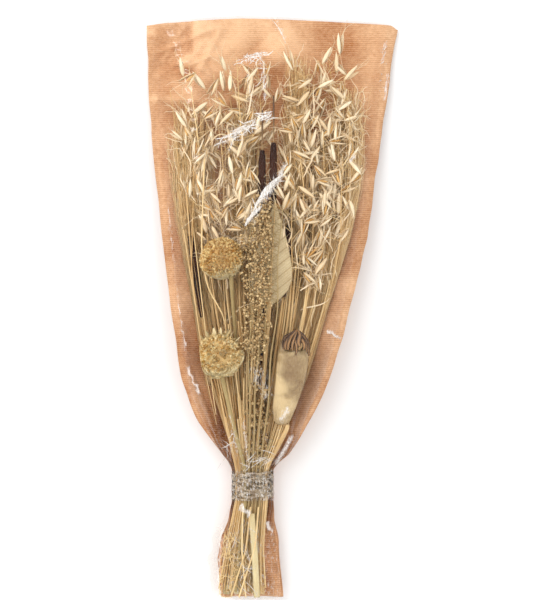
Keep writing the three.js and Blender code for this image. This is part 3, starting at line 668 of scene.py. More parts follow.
# %% Globe heads
floret_gold = tissue("golden globe floret", "bb8838", "ffe5a4", 0.5, 0.75, 1.0)
floret_pale = tissue("pale globe floret", "c69c50", "ffedb8", 0.5, 0.75, 1.0)
scale_pale = tissue("calyx scale", "b59c66", "ecdcae", 0.6, 0.6, 1.0)
GOLDEN_ANGLE = 2.39996  # pi (3 - sqrt 5), in radians
CALYX_FROM = -0.42  # cosine of the angle from the head's axis below which scales stand instead of florets


def tube_floret(sides=5):
    """A small trumpet of length 1: its radius grows from 0.09 to 0.15 at its ragged mouth, then closes inside."""
    t = np.array([0, 0.55, 0.86, 1.0, 0.7])[:, None]
    r = np.array([0.09, 0.10, 0.15, 0.15, 0.05])[:, None]
    a = np.arange(sides)[None] * 2 * np.pi / sides
    ragged = np.where(t == 1.0, 0.12 * np.cos(2 * a + 0.4), 0)
    return loft(np.stack([r * np.cos(a), t + ragged, r * np.sin(a)], -1)[None])


def globe(which, florets, coarse, tip, faces_up, materials, rays):
    """A head of florets on a slightly flattened ball, on its straw. coarse scales the florets, tip leans the
    head's axis sideways, faces_up turns it to the sky, and rays are longer pale scales on its upper rim."""
    head, foot = f"{which}_globe_head", f"{which}_globe_straw"
    lo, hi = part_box(head)
    middle = (np.array(lo) + np.array(hi)) / 2
    radius = (hi[0] - lo[0]) / 2 * 0.97
    heap = Heap()
    k = np.arange(florets) + 0.5
    z = 1 - 2 * k / florets
    turn = k * GOLDEN_ANGLE
    unit = np.stack([np.sqrt(1 - z * z) * np.cos(turn), np.sqrt(1 - z * z) * np.sin(turn), z], 1)
    axis = np.array([-np.sin(tip), np.cos(tip), faces_up])
    axis /= np.linalg.norm(axis)
    up = unit @ axis
    shape = radius * (1 - 0.1 * np.clip(-up, 0, 1) - 0.05 * np.clip(up, 0, 1))
    crown = up > CALYX_FROM
    long = radius * rng.uniform(0.24, 0.42, florets) * coarse
    jitter = unit + rng.normal(0, 0.26, (florets, 3))
    places = middle + unit * (shape - long * 0.8)[:, None]
    slim = 1.25 if which == "upper" else 1.05
    size = np.stack([long * slim, long, long * slim], 1)
    tone = np.clip(0.5 + rng.normal(0, 0.28, florets), 0, 1)
    frames = aim(jitter, rng.uniform(0, 6.3, florets), size)
    heap.put(scatter(tube_floret(), places[crown], frames[crown]), tone[crown], 0)
    scales = ~crown
    rise = unit + 0.9 * axis
    size = np.stack([long * 1.6, long * 1.5, long * 0.9], 1)
    frames = aim(rise, np.full(florets, 0.0), size)
    heap.put(scatter(husk_shell(1.0, 0.8, 0.2), places[scales], frames[scales]), tone[scales] + 0.15, 1)
    if rays:
        turn = np.linspace(-0.8, 0.6, rays) + rng.normal(0, 0.07, rays)
        ray = np.stack([np.sin(turn + 0.15), np.cos(turn + 0.15), 0.15 + 0 * turn], 1)
        place = middle + ray * radius * 0.82
        frames = aim(ray, np.full(rays, 1.57) + rng.normal(0, 0.4, rays), radius * np.array([0.95, 0.5, 0.5]))
        heap.put(scatter(husk_shell(1.0, 0.3, 0.05), place, frames), 0.9, 1)
    core_t = np.linspace(0.02, 0.98, 14)
    core = middle + (np.cos(np.pi * core_t) * -radius * 0.8)[:, None] * axis
    heap.put(strands(core[None], radius * 0.84 * np.sin(np.pi * core_t), 20), 0.5, 0)
    line = middle_line(foot)
    y = np.linspace(line[0, 1], line[-1, 1] + 0.002, 50)
    width = np.interp(y, [-0.3, line[-1, 1] - 0.02, line[-1, 1]], [1.7, 2.0, 2.6]) * MM
    heap.put(strands(at(line, y), width, 9), 0.55, 2)
    return heap.make(f"{which}_globe_flower", materials, [head, foot])


stem_green = tissue("thick flower stem", "8d7a4c", "c9b27c", 0.7, 0.6)
globe("upper", 820, 0.86, 0.42, 0.45, [floret_gold, scale_pale, stem_green], 0)
globe("lower", 560, 1.2, 0.1, 0.8, [floret_pale, scale_pale, stem_green], 9)
print("2 globe flowers")

# %% [markdown]
# ## Seed sprays
#
# A spray is a wiry stem that carries round seed capsules on short stalks, crowded into small knots. The knots
# stand left and right of the stem in turn, large near the tip and far apart lower down.

# %% Seed sprays
capsule = tissue("seed capsule", "8d6835", "edd3a0", 0.5, 0.8, 1.0)
wire = tissue("wiry spray stem", "8c7245", "cdb582", 0.5, 0.6)


def bead(sides=6):
    """A ball with a dimple on top: radius sin(pi t), height 1 - cos(pi t), and the last ring sinks in."""
    t = np.array([0.06, 0.28, 0.52, 0.76, 0.95])
    a = np.arange(sides)[None] * 2 * np.pi / sides
    r, y = np.sin(np.pi * t)[:, None], (1 - np.cos(np.pi * t))[:, None]
    y = np.where(t[:, None] > 0.9, 1.6, y)
    return loft(np.stack([r * np.cos(a), y + 0 * a, r * np.sin(a)], -1)[None])


PALM_SEEN = sum(corner[0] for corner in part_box("palm_spear_leaf")) / 2 - 0.001  # no capsule is right of this x
SPRAY_LOW = {1: 0.42, 2: 0.40, 3: 0.43, 4: 0.50, 5: 0.25, 6: 0.225}  # lowest knot, as a share of the length
SLEEVE_LENGTH = 0.6  # m


def spray(number):
    """Knots of 2 to 6 capsules at the ends of twigs, with the twigs' feet spread along the stem. Twigs are longer
    and shorter by turns, as 1 + 0.45 sin(2 pi y / 31 mm), so the knots stand in loose clumps."""
    name = f"seed_spray_{number:02d}"
    lo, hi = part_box(name)
    line = middle_line(name)
    heap = Heap()
    y = np.linspace(lo[1] + 0.001, hi[1] - 0.002, 70)
    own = at(line, y)
    own[:, 0] += 0.0014 * np.sin(y * 60 + 2 * number) * np.clip((y + 0.15) * 10, 0, 1)
    heap.put(strands(own, np.interp(y, [-0.3, -0.05, hi[1]], [1.0, 0.8, 0.35]) * MM, 6), 0.5, 0)
    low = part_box("kraft_paper_back")[0][1] + SLEEVE_LENGTH * SPRAY_LOW[number]
    full = number <= 4
    knots = int((hi[1] - low) / (0.0017 if full else 0.0024))
    share = np.linspace(0, 1, knots) + rng.normal(0, 0.012, knots)
    foot_y = low + (hi[1] - low - 0.008) * np.clip(share, 0, 1)
    feet = at(own, foot_y)
    taper = np.interp(foot_y, [low, low + 0.06, hi[1] - 0.03, hi[1]], [0.55, 0.9, 1, 0.5])
    clumps = 1 + 0.45 * np.sin(foot_y * 2 * np.pi / 0.031 + 2.1 * number)
    longest = 0.0105 if full else 0.0075
    side = np.where(np.arange(knots) % 2, 1, -1)
    reach = rng.uniform(0.001, longest, knots) * side * taper * clumps
    rise = rng.uniform(0.001, 0.011, knots)
    ends = feet + np.stack([reach, rise, rng.uniform(-0.002, 0.0045, knots)], 1)
    ends[:, 0] = np.minimum(ends[:, 0], PALM_SEEN - rng.uniform(0, 0.012, knots))
    bow = np.stack([reach * 0.2, 0 * reach, 0 * reach], 1)
    heap.put(strands(bend(feet, ends, bow, 5), 0.3 * MM, 3), 0.5, 0)
    each = rng.integers(2, 7, knots)
    knot = np.repeat(np.arange(knots), each)
    capsules = len(knot)
    direction = rng.normal(0, 1, (capsules, 3)) + [0, 0.5, 0.2]
    direction /= np.linalg.norm(direction, axis=1, keepdims=True)
    size = rng.uniform(0.7, 1.4, capsules) * (MM if full else 1.45 * MM)
    places = ends[knot] + direction * (rng.uniform(0.6, 2.9, capsules) * MM)[:, None]
    frames = aim(direction, rng.uniform(0, 6, capsules), size[:, None])
    heap.put(scatter(bead(), places, frames), np.clip(rng.normal(0.5, 0.3, capsules), 0, 1), 1)
    return heap.make(name + "_knots", [wire, capsule], [name])


for number in range(1, 7):
    spray(number)
print("6 seed sprays")

# %% [markdown]
# ## The palm spear
#
# A young palm leaf that was cut to a point and dried flat. Its pleats run from the midrib outward and up, so at
# a point of the leaf the pleat's phase is the height less the distance from the midrib, over the pleat's pitch.
# The sheet is a saw of low ridges with a fine line in each valley.

# %% Palm leaf
palm_skin = tissue("dried palm leaf", "98794a", "dac9a0", 0.9, 0.45, 0.5, 0.1, coat=0.1)


def shell(grid, normals, thickness):
    """A closed sheet from a grid of points (row, column, xyz): one skin over it, one under it, and a rim."""
    rows, columns, _ = grid.shape
    top, under = grid + normals * thickness / 2, grid - normals * thickness / 2
    index = np.arange(rows * columns).reshape(rows, columns)
    a, b, c, d = index[:-1, :-1], index[:-1, 1:], index[1:, 1:], index[1:, :-1]
    skin = np.stack([a, b, c, d], -1).reshape(-1, 4)
    rim = np.concatenate([index[0, :], index[1:, -1], index[-1, -2::-1], index[-2:0:-1, 0]])
    after = np.roll(rim, -1)
    wall = np.stack([rim, rim + rows * columns, after + rows * columns, after], -1)
    points = np.concatenate([top.reshape(-1, 3), under.reshape(-1, 3)])
    return points, [skin, skin[:, ::-1] + rows * columns, wall]


def grid_normals(grid):
    """Unit normals of a grid whose columns run to +X and rows to +Y: across times along."""
    across, along = np.gradient(grid, axis=1), np.gradient(grid, axis=0)
    n = np.cross(across, along)
    return n / (np.linalg.norm(n, axis=2, keepdims=True) + 1e-15)


def palm():
    """A leaf whose half width follows a drawn outline, with a ridge that rises over 0.72 of each pleat and falls
    over the rest. Its stalk runs on as the midrib."""
    lo, hi = map(np.array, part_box("palm_spear_leaf"))
    s = np.linspace(-1, 1, 90)[None]
    t = np.linspace(0, 1, 120)[:, None]
    outline_t = [0, 0.08, 0.16, 0.28, 0.4, 0.55, 0.75, 0.92, 1]
    outline = np.interp(t, outline_t, [0.1, 0.52, 0.84, 1.0, 0.96, 0.8, 0.55, 0.26, 0.04])
    middle = (lo[0] + hi[0]) / 2 - 0.002 + 0.006 * t
    x = middle + 0.0215 * outline * s
    droop = 1 - 0.1 * np.abs(s) ** 2
    y = lo[1] + (hi[1] - lo[1]) * t * droop
    pitch = 0.0125  # m, of the pleats
    phase = (y - 0.85 * np.abs(x - middle)) / pitch
    saw = phase - np.floor(phase)
    ridge = np.minimum(saw / 0.72, (1 - saw) / 0.28)
    z = hi[2] - 0.004 + 0.0015 * ridge - 0.0045 * np.abs(s) ** 2 + 0.001 * np.sin(5 * t)
    z += np.interp(t, [0, 0.3], [-0.004, 0]) + 0 * s
    grid = np.stack([x + 0 * z, y + 0 * z, z], -1)
    tone = 0.72 - 0.5 * np.exp(-((np.minimum(saw, 1 - saw)) ** 2) / 0.002)
    tone += 0.10 * np.sin(phase * 2 * np.pi * 4)
    tone = np.clip(tone - 0.15 * (np.abs(s) > 0.96), 0, 1).ravel()
    heap = Heap()
    heap.put(shell(grid, grid_normals(grid), 0.0004), np.concatenate([tone, tone]), 0)
    line = middle_line("palm_stalk")
    own = at(line, np.linspace(line[0, 1], line[-1, 1] + 0.004, 50))
    heap.put(strands(own, 1.9 * MM, 7, 0.6), 0.4, 1)
    rib = np.stack([middle[:, 0], grid[:, 45, 1], grid[:, 45, 2] + 0.0005], 1)
    heap.put(strands(rib[::4], np.linspace(1.3, 0.4, 30) * MM, 6), 0.6, 1)
    return heap.make("palm_spear", [palm_skin, straw], ["palm_spear_leaf", "palm_stalk"])


palm()
print("palm spear")

# %% [markdown]
# ## The spathe
#
# A leathery sheath folded round a spent bud. It is a flattened sleeve, wide at the top and narrow at the stalk,
# with shallow creases that run down and across it. Out of its mouth look the bud's bracts: narrow, pale in the
# middle, dark along both edges, and drawn together to a point. Dried leather and handled paper share one kind
# of mark: short sharp creases that start and end anywhere. They are a sum of small straight ridges.


# %% Sharp creases
def creases(x, y, x_range, y_range, count, reach, slope, seed):
    """Sharp short creases: the sum of s |d| exp(-(r / reach)^2), d being the distance to a line through a chance
    point and r the distance to that point. It is straight and crisp where d is 0, and gone a reach away."""
    chance = np.random.default_rng(seed)
    total = 0
    for _ in range(count):
        px, py = chance.uniform(*x_range), chance.uniform(*y_range)
        turn, steep = chance.uniform(0, np.pi), chance.normal(0, slope)
        wide = chance.uniform(0.6, 1.6) * reach
        d = (x - px) * np.cos(turn) + (y - py) * np.sin(turn)
        r = np.hypot(x - px, y - py)
        total = total - steep * np.abs(d) * np.exp(-((r / wide) ** 2))
    return total

print("creases can be drawn")

# %% Spathe and bud
leather = tissue("leathery spathe", "7c5f3c", "dcc394", 1.3, 0.42, 0.3, 0.8, coat=0.15)
bract = tissue("dark edged bract", "2a1614", "b98d5c", 0.5, 0.6, 0.3)


def wavy_lines(x, y):
    """Long shallow creases down the sheath: sin(2 pi x / 2.7 mm), bent slowly sideways along y."""
    return np.sin(2 * np.pi * (x + 0.0015 * np.sin(y * 70)) / 0.0027) * np.sin(y * 45 + 300 * x) ** 2


def spathe():
    """Rings of |cos a|^0.8 across and |sin a|^0.8 up, a rounded box, as wide as a drawn outline. Nineteen bracts
    stand round the mouth and bend in to one apex."""
    lo, hi = map(np.array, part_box("spathe_leaf"))
    ys = np.linspace(lo[1] + 0.002, hi[1] - 0.0006, 60)
    c = cuts("spathe_leaf", ys)
    mid = (c[:, 0] + c[:, 1]) / 2
    half = (c[:, 1] - c[:, 0]) / 2
    t = np.linspace(0, 1, 60)
    outline = np.interp(t, [0, 0.05, 0.2, 0.5, 0.75, 0.9, 1], [0.3, 0.56, 0.8, 0.97, 1.0, 0.95, 0.84])
    half = outline * half.max() * 1.06
    mid = mid - 0.0015 - 0.005 * (1 - smooth(0, 0.6, t))
    centre = (c[:, 2] + c[:, 3]) / 2
    deep = (c[:, 3] - c[:, 2]) / 2
    a = -np.linspace(0, 2 * np.pi, 48, endpoint=False)
    cos, sin = np.cos(a)[None], np.sin(a)[None]
    square = 0.8
    x = mid[:, None] + half[:, None] * np.sign(cos) * np.abs(cos) ** square
    keel = np.exp(-((cos - 0.35 * t[:, None] + 0.1) ** 2) / 0.006)
    crease = 0.0007 * np.sin(9 * t[:, None] * 3 + 5 * cos) + 0.0011 * keel
    z = centre[:, None] + (deep[:, None] * 0.95 + crease) * np.sign(sin) * np.abs(sin) ** square
    lip = 0.006 * t[:, None] ** 6 * np.cos(2 * a)[None]
    y = ys[:, None] + lip + 0.0015 * np.sin(5 * a)[None] * t[:, None] ** 8
    folds = creases(x, y, (lo[0], hi[0]), (lo[1], hi[1]), 60, 0.009, 0.34, 4)
    folds = folds + 0.0006 * wavy_lines(x, y)
    z += np.clip(folds, -0.0022, 0.0022) * (sin > 0)
    rings = np.stack([x, y + 0 * x, z], -1)
    patch = np.exp(-((t[:, None] - 0.70) ** 2) / 0.02 - ((cos + 0.15) ** 2) / 0.35)
    # painted light: the tone is lighter on the creases' ridges and darker in their hollows, a painted highlight
    # and shade, and the two turned sides of the sheath are painted darker as shade; patch is a soft brown stain
    stain_and_painted_light = 110 * np.clip(folds, -0.002, 0.002) + 0.6 + 0.13 * np.sin(7 * t[:, None] + 2 * cos)
    stain_and_painted_light = stain_and_painted_light - 0.1 * patch - 0.2 * (np.abs(cos) > 0.96)
    heap = Heap()
    heap.put(loft(rings[None]), np.clip(stain_and_painted_light, 0, 1).ravel(), 0)
    bud_lo, bud_hi = map(np.array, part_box("spathe_bud_tip"))
    bud = (bud_lo + bud_hi) / 2
    apex = np.array([bud[0] + 0.001, bud_hi[1] + 0.003, bud[2] + 0.003])
    many = 19
    turn = np.linspace(0, 2 * np.pi, many, endpoint=False) + rng.normal(0, 0.1, many)
    wide = (hi[0] - lo[0]) / 2
    down = -0.019 + rng.normal(0, 0.003, many)
    base = apex + np.stack(
        [np.cos(turn) * wide * 0.84, down, np.sin(turn) * deep.max() * 0.95 + 0.001], 1
    )
    steps = np.linspace(0, 1, 12)[None, :, None]
    bulge = (base - apex) * [0.6, 0, 0.75]
    path = base[:, None] + (apex - base)[:, None] * steps + bulge[:, None] * (np.sin(np.pi * steps) * 0.42)
    path += rng.normal(0, 0.7 * MM, (many, 1, 3)) * np.sin(np.pi * steps * 2)
    width = rng.uniform(1.6, 2.7, (many, 1)) * MM * np.sin(np.pi * np.linspace(0.12, 0.97, 12)) ** 0.7
    edge = np.tile(np.array([0.0, 0.15, 0.8, 0.15, 0.0, 0.1, 0.2, 0.1]), many * 12)
    heap.put(strands(path, width, 8, 0.5), edge, 1)
    line = middle_line("spathe_stalk")
    own = at(line, np.linspace(line[0, 1], line[-1, 1] + 0.003, 40))
    heap.put(strands(own, np.linspace(1.5, 2.6, 40) * MM, 8), 0.5, 2)
    stands_for = ["spathe_leaf", "spathe_bud_tip", "spathe_stalk"]
    return heap.make("spathe_with_bud", [leather, bract, straw], stands_for)


spathe()
print("spathe")

# %% [markdown]
# ## Leaf blades and the straws that fill the neck
#
# Between the flower stems are dead leaf blades, flat and slightly twisted, and bare straws. They all go through
# the twine, fan out a little below it and are cut off level.

# %% Blades
FOOT_Y, MOUTH_Y = cad_box[0][1] + 2e-4, cad_box[1][1] - 2e-4
LOOSE = {  # by blade: bent loose straws as (points from the foot up, radius in mm, flatness, tone, finish)
    2: [
        ([(-0.034, -0.298, 0.0315), (-0.017, -0.245, 0.0325), (-0.014, -0.205, 0.031)], 0.9, 1.0, 0.8, 1),
        ([(-0.042, -0.297, 0.0315), (-0.027, -0.250, 0.0325), (-0.022, -0.205, 0.031)], 0.8, 1.0, 0.6, 1),
        ([(-0.027, -0.298, 0.0305), (-0.031, -0.250, 0.0320), (-0.030, -0.205, 0.031)], 0.8, 1.0, 0.9, 1),
    ],
    6: [([(-0.0155, -0.298, 0.0325), (-0.018, -0.250, 0.0328), (-0.021, -0.212, 0.031)], 3.3, 0.12, 0.95, 0)],
    3: [
        ([(-0.062, -0.110, 0.030), (-0.080, 0.010, 0.038), (-0.088, 0.120, 0.030)], 0.7, 1.0, 0.5, 1),
        ([(-0.058, -0.110, 0.031), (-0.071, 0.000, 0.040), (-0.082, 0.090, 0.034)], 0.6, 1.0, 0.8, 1),
        ([(-0.066, -0.110, 0.029), (-0.083, 0.030, 0.037), (-0.080, 0.140, 0.034)], 0.6, 1.0, 0.3, 1),
        ([(-0.060, -0.120, 0.030), (-0.076, -0.020, 0.039), (-0.091, 0.080, 0.032)], 0.8, 1.0, 0.65, 1),
    ],
    1: [([(-0.044, -0.060, 0.030), (-0.048, -0.008, 0.046), (-0.066, 0.018, 0.056), (-0.072, 0.060, 0.062),
          (-0.069, 0.152, 0.052)], 0.8, 1.0, 0.75, 1)],
}
blade_skin = tissue("dead leaf blade", "95804f", "dccb9c", 0.8, 0.6, 0.04, 0.2)


def blade(number):
    """A flat strap along the node's line, fourteen bare straws that fan out round it, and the loose straws that
    LOOSE lists for this blade. The fourth also carries a curl of chaff over the cut ends."""
    name = f"leaf_blade_{number:02d}"
    lo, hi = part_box(name)
    line = middle_line(name)
    heap = Heap()
    y = np.linspace(lo[1] + 0.001, hi[1] - 0.001, 60)
    own = at(line, y)
    width_y = [-0.3, -0.24, -0.2, -0.165, -0.13, hi[1] - 0.02, hi[1]]
    width = np.interp(y, width_y, [3.8, 3.2, 1.8, 1.7, 2.3, 1.8, 0.3])
    heap.put(strands(own, width * MM, 8, 0.18, roll=0.25 * number), rng.uniform(0.4, 0.9), 0)
    many = 14
    t = np.linspace(0, 1, 40)[None]
    y = lo[1] + rng.uniform(0, 0.008, (many, 1)) + (rng.uniform(0.7, 1.35, (many, 1)) * (hi[1] - lo[1])) * t
    path = at(line, np.minimum(y, line[-1, 1]))
    slope = (line[-1] - line[-12]) / (line[-1, 1] - line[-12, 1])
    path += np.clip(y - line[-1, 1], 0, 1)[..., None] * slope
    path[..., 1] = y
    spread = np.interp(y, [-0.3, -0.2, -0.165, -0.05], [5.5, 2.4, 2.2, 5.0]) * MM
    off = rng.normal(0, 0.8, (many, 1, 2))
    drift = rng.normal(0, 0.005, (many, 1)) * np.clip((y + 0.15) * 6, 0, 1.6) ** 2
    path[..., 0] += off[..., 0] * spread + drift
    path[..., 2] += off[..., 1] * np.minimum(spread, 2.2 * MM)
    heap.put(strands(path, rng.uniform(0.35, 0.95, many)[:, None] * MM, 5), rng.uniform(0, 1, many), 1)
    for points, radius, flat, shade, finish in LOOSE.get(number, []):
        points = np.array(points)
        y = np.linspace(points[0, 1], points[-1, 1], 40)
        path = at(points, y)
        for _ in range(6):  # rounds its corners
            path[1:-1] = (path[:-2] + 2 * path[1:-1] + path[2:]) / 4
        heap.put(strands(path, radius * MM, 8, flat), shade, finish)
    if number == 4:
        start = rng.uniform([-0.052, -0.288, 0.024], [-0.032, -0.238, 0.031], (46, 3))
        path = curls(start, rng.uniform(0, 6.3, 46), rng.uniform(0.01, 0.03, 46), 0.4)
        path[..., 0] = np.maximum(path[..., 0], -0.054 + 0.15 * np.clip(path[..., 1] + 0.27, 0, 1))
        path[..., 1] = np.maximum(path[..., 1], FOOT_Y + 0.002)
        path[..., 2] = np.clip(path[..., 2], 0.02, 0.0325)
        heap.put(strands(path, 0.3 * MM, 4), rng.uniform(0.4, 1, 46), 1)
    return heap.make(name + "_and_straws", [blade_skin, straw], [name])


for number in range(1, 8):
    blade(number)
print("7 leaf blades with their straws")

# %% [markdown]
# ## Twine
#
# The stems are tied with a loose natural twine. Each turn wanders up and down a little, and the thread is two
# thin plies twisted together: each ply circles the thread's line by half a ply's width, once every few
# millimetres.

# %% Twine
fibre = tissue("natural twine", "a58d6e", "e6d8bd", 0.35, 0.9, 1.0, 0.3)


def twine():
    """Two plies that twist round one line, which winds on the neck's oval and wanders up and down as three sine
    waves. Short loose fibres stand off it."""
    lo, hi = map(np.array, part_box("neck_twine"))
    mid, half = (lo + hi) / 2, (hi - lo) / 2
    turns, per_turn = 10, 90
    thread_half, ply_off, lay = 0.0011, 0.55 * MM, 0.0035  # m: half the thread, ply from its line, one twist
    a = np.linspace(0, 2 * np.pi * turns, turns * per_turn)
    level = np.linspace(lo[1] - 0.001, hi[1] + 0.002, len(a))
    y = level + 0.0022 * np.sin(a * 1.13 + 0.5) + 0.0014 * np.sin(2.31 * a) + 0.001 * np.sin(5.3 * a)
    out = 1 - 0.0008 * np.sin(a * 3.7) / half[0]
    heap = Heap()
    for ply in (0, np.pi):
        twist = a * half[0] / lay * 1.5 + ply
        x = mid[0] + (half[0] * out - thread_half + ply_off * np.cos(twist)) * np.cos(a)
        z = mid[2] + (half[2] * out - thread_half + ply_off * np.cos(twist)) * np.sin(a)
        path = np.stack([x, y + ply_off * np.sin(twist), z], 1)
        heap.put(strands(path, 0.72 * MM, 6), 0.35 + 0.3 * np.sin(a * 7), 0)
    many = 70
    a = rng.uniform(0, 2 * np.pi, (many, 1)) + np.linspace(0, 1, 7)[None] * rng.uniform(0.15, 0.5, (many, 1))
    y = rng.uniform(lo[1], hi[1], (many, 1)) + rng.normal(0, 0.003, (many, 1)) * np.linspace(0, 1, 7)[None]
    out = 0.0004 + rng.uniform(0, 0.0012, (many, 1)) * np.sin(np.linspace(0, 3, 7))[None]
    x, z = mid[0] + (half[0] + out) * np.cos(a), mid[2] + (half[2] + out) * np.sin(a)
    heap.put(strands(np.stack([x, y, z], -1), 0.14 * MM, 3), rng.uniform(0.3, 1, many), 0)
    return heap.make("twine_round_the_neck", [fibre], ["neck_twine"], plant=False)


twine()
print("twine")

# %% [markdown]
# ## Kraft paper
#
# Ribbed kraft is a brown wrapping paper, pressed between rollers so that fine straight ribs cross it about every
# 1.3 mm. They are drawn 2 mm apart, as closer ones blur from this height. The paper is matte, its colour wanders
# in soft clouds of fibre, and handling leaves sharp low creases in it.
# The sheet lies flat under the flowers, climbs steeply beside them, and ends in a flat strip on each side where
# the film is welded to it. Creases are ridges of the form h exp(-(d / w)^2), d being the distance to the
# crease's line. A kink is sharper, -s |d| exp(-(d / w)^2), and crumples are many short kinks by chance.

# %% The paper's stuff
kraft = bpy.data.materials.new("ribbed kraft paper")
kraft.use_nodes = True
tree = kraft.node_tree
skin = tree.nodes["Principled BSDF"]
place = add(tree, "ShaderNodeTexCoord")
RIB_PITCH = 2.0  # mm, coarser than real ribs so that they show
ribs = add(
    tree,
    "ShaderNodeTexWave",
    {
        "Vector": place.outputs["Object"],
        "Scale": 2 * np.pi * 1000 / RIB_PITCH / 20,  # the wave repeats every 2 pi / 20 of a unit
        "Distortion": 0.35,
        "Detail": 1,
    },
    bands_direction="Y",
)
clouds = add(tree, "ShaderNodeTexNoise", {"Vector": place.outputs["Object"], "Scale": 22, "Detail": 4})
mottle = add(tree, "ShaderNodeTexNoise", {"Vector": place.outputs["Object"], "Scale": 260, "Detail": 3})
fibres_long = add(tree, "ShaderNodeMapping", {"Vector": place.outputs["Object"], "Scale": (0.35, 1, 1)})
fibres = add(tree, "ShaderNodeTexNoise", {"Vector": fibres_long.outputs[0], "Scale": 900, "Detail": 3})
tone = add(tree, "ShaderNodeAttribute", attribute_name="tone")
cloud_part = add(tree, "ShaderNodeMath", {0: clouds.outputs[0], 1: 0.9, 2: -0.45}, operation="MULTIPLY_ADD")
fibre_part = add(tree, "ShaderNodeMath", {0: fibres.outputs[0], 1: 0.5, 2: -0.25}, operation="MULTIPLY_ADD")
# the ribs also stripe the colour lighter and darker: partly their own tint, partly painted shade of their relief
rib_tint_and_shade = add(tree, "ShaderNodeMath", {0: ribs.outputs["Fac"], 1: 0.3, 2: -0.15}, operation="MULTIPLY_ADD")
soft = add(tree, "ShaderNodeMath", {0: cloud_part.outputs[0], 1: fibre_part.outputs[0]}, operation="ADD")
mottle_part = add(tree, "ShaderNodeMath", {0: mottle.outputs[0], 1: 0.6, 2: -0.3}, operation="MULTIPLY_ADD")
mottled = add(tree, "ShaderNodeMath", {0: soft.outputs[0], 1: mottle_part.outputs[0]}, operation="ADD")
ribbed = add(tree, "ShaderNodeMath", {0: mottled.outputs[0], 1: rib_tint_and_shade.outputs[0]}, operation="ADD")
whole = add(
    tree, "ShaderNodeMath", {0: ribbed.outputs[0], 1: tone.outputs["Fac"]}, operation="ADD", use_clamp=True
)
colour = add(
    tree, "ShaderNodeMixRGB", {"Fac": whole.outputs[0], "Color1": linear("a25d1c"), "Color2": linear("ecc096")}
)
tree.links.new(colour.outputs[0], skin.inputs["Base Color"])
rib_relief = add(tree, "ShaderNodeBump", {"Height": ribs.outputs["Fac"], "Distance": 0.25 * MM, "Strength": 0.7})
fibre_relief = add(
    tree,
    "ShaderNodeBump",
    {"Height": fibres.outputs[0], "Distance": 0.08 * MM, "Strength": 0.5, "Normal": rib_relief.outputs[0]},
)
tree.links.new(fibre_relief.outputs[0], skin.inputs["Normal"])
skin.inputs["Roughness"].default_value = 0.75
skin.inputs["IOR"].default_value = 1.47
print("kraft is mixed")


# %% The paper's sheet
def mouth_drop(u):
    """How far the open end lies below its highest point, at u across from -1 to 1."""
    left, right = np.clip((-0.25 - u) / 0.75, 0, 1), np.clip((u + 0.25) / 1.25, 0, 1)
    clipped = 0.004 * smooth(0.94, 1.0, u)
    return 0.0068 * left**1.4 + 0.0075 * right**1.6 + clipped


def wavy(x, y, pitch, seed, count=5):
    """A smooth field from -1 to 1: the mean of a few sine waves of about one pitch in chosen directions."""
    chance = np.random.default_rng(seed)
    total = 0
    for _ in range(count):
        turn, shift = chance.uniform(0, 2 * np.pi), chance.uniform(0, 2 * np.pi)
        size = chance.uniform(0.7, 1.5)
        total = total + np.sin(2 * np.pi * (x * np.cos(turn) + y * np.sin(turn)) / (pitch * size) + shift)
    return total / count


def from_line(x, y, start, end):
    """How far along a line from start to end, as a share, and how far beside it, in metres, each point lies."""
    start, end = np.array(start), np.array(end)
    run = end - start
    long = np.hypot(*run)
    t = ((x - start[0]) * run[0] + (y - start[1]) * run[1]) / long**2
    d = ((x - start[0]) * -run[1] + (y - start[1]) * run[0]) / long
    return t, d


def fold(x, y, start, end, width, height):
    """A crease from start to end: height exp(-(d / width)^2), fading over the last fifth of its length."""
    t, d = from_line(x, y, start, end)
    return height * np.exp(-((d / width) ** 2)) * smooth(-0.02, 0.18, t) * smooth(1.02, 0.82, t)


def kink(x, y, start, end, slope, reach):
    """A long sharp crease from start to end: -slope |d| exp(-(d / reach)^2), fading at both ends."""
    t, d = from_line(x, y, start, end)
    return -slope * np.abs(d) * np.exp(-((d / reach) ** 2)) * smooth(-0.15, 0.1, t) * smooth(1.15, 0.9, t)


PAPER_KINKS = [  # from, to, slope and reach
    ((-0.130, 0.287), (-0.094, 0.268), 0.34, 0.012),
    ((-0.086, 0.297), (-0.082, 0.262), -0.30, 0.012),
    ((-0.128, 0.272), (-0.078, 0.247), 0.32, 0.012),
    ((-0.118, 0.250), (-0.060, 0.284), -0.29, 0.014),
    ((-0.100, 0.238), (-0.072, 0.272), 0.29, 0.010),
    ((-0.090, 0.292), (-0.112, 0.256), 0.32, 0.010),
    ((-0.124, 0.235), (-0.086, 0.262), 0.25, 0.010),
    ((-0.070, 0.294), (-0.048, 0.262), -0.25, 0.014),
    ((-0.050, 0.290), (-0.096, 0.262), 0.22, 0.012),
    ((-0.126, 0.21), (-0.098, 0.15), 0.18, 0.012),
    ((0.002, 0.296), (0.018, 0.258), -0.36, 0.010),
    ((0.060, 0.290), (0.085, 0.23), 0.13, 0.016),
    ((0.118, 0.24), (0.104, 0.14), 0.14, 0.010),
    ((-0.088, -0.05), (-0.060, -0.115), -0.29, 0.009),
    ((-0.095, -0.015), (-0.078, -0.09), 0.22, 0.009),
    ((0.046, -0.115), (0.030, -0.15), 0.29, 0.008),
    ((0.062, -0.06), (0.036, -0.13), -0.22, 0.009),
]


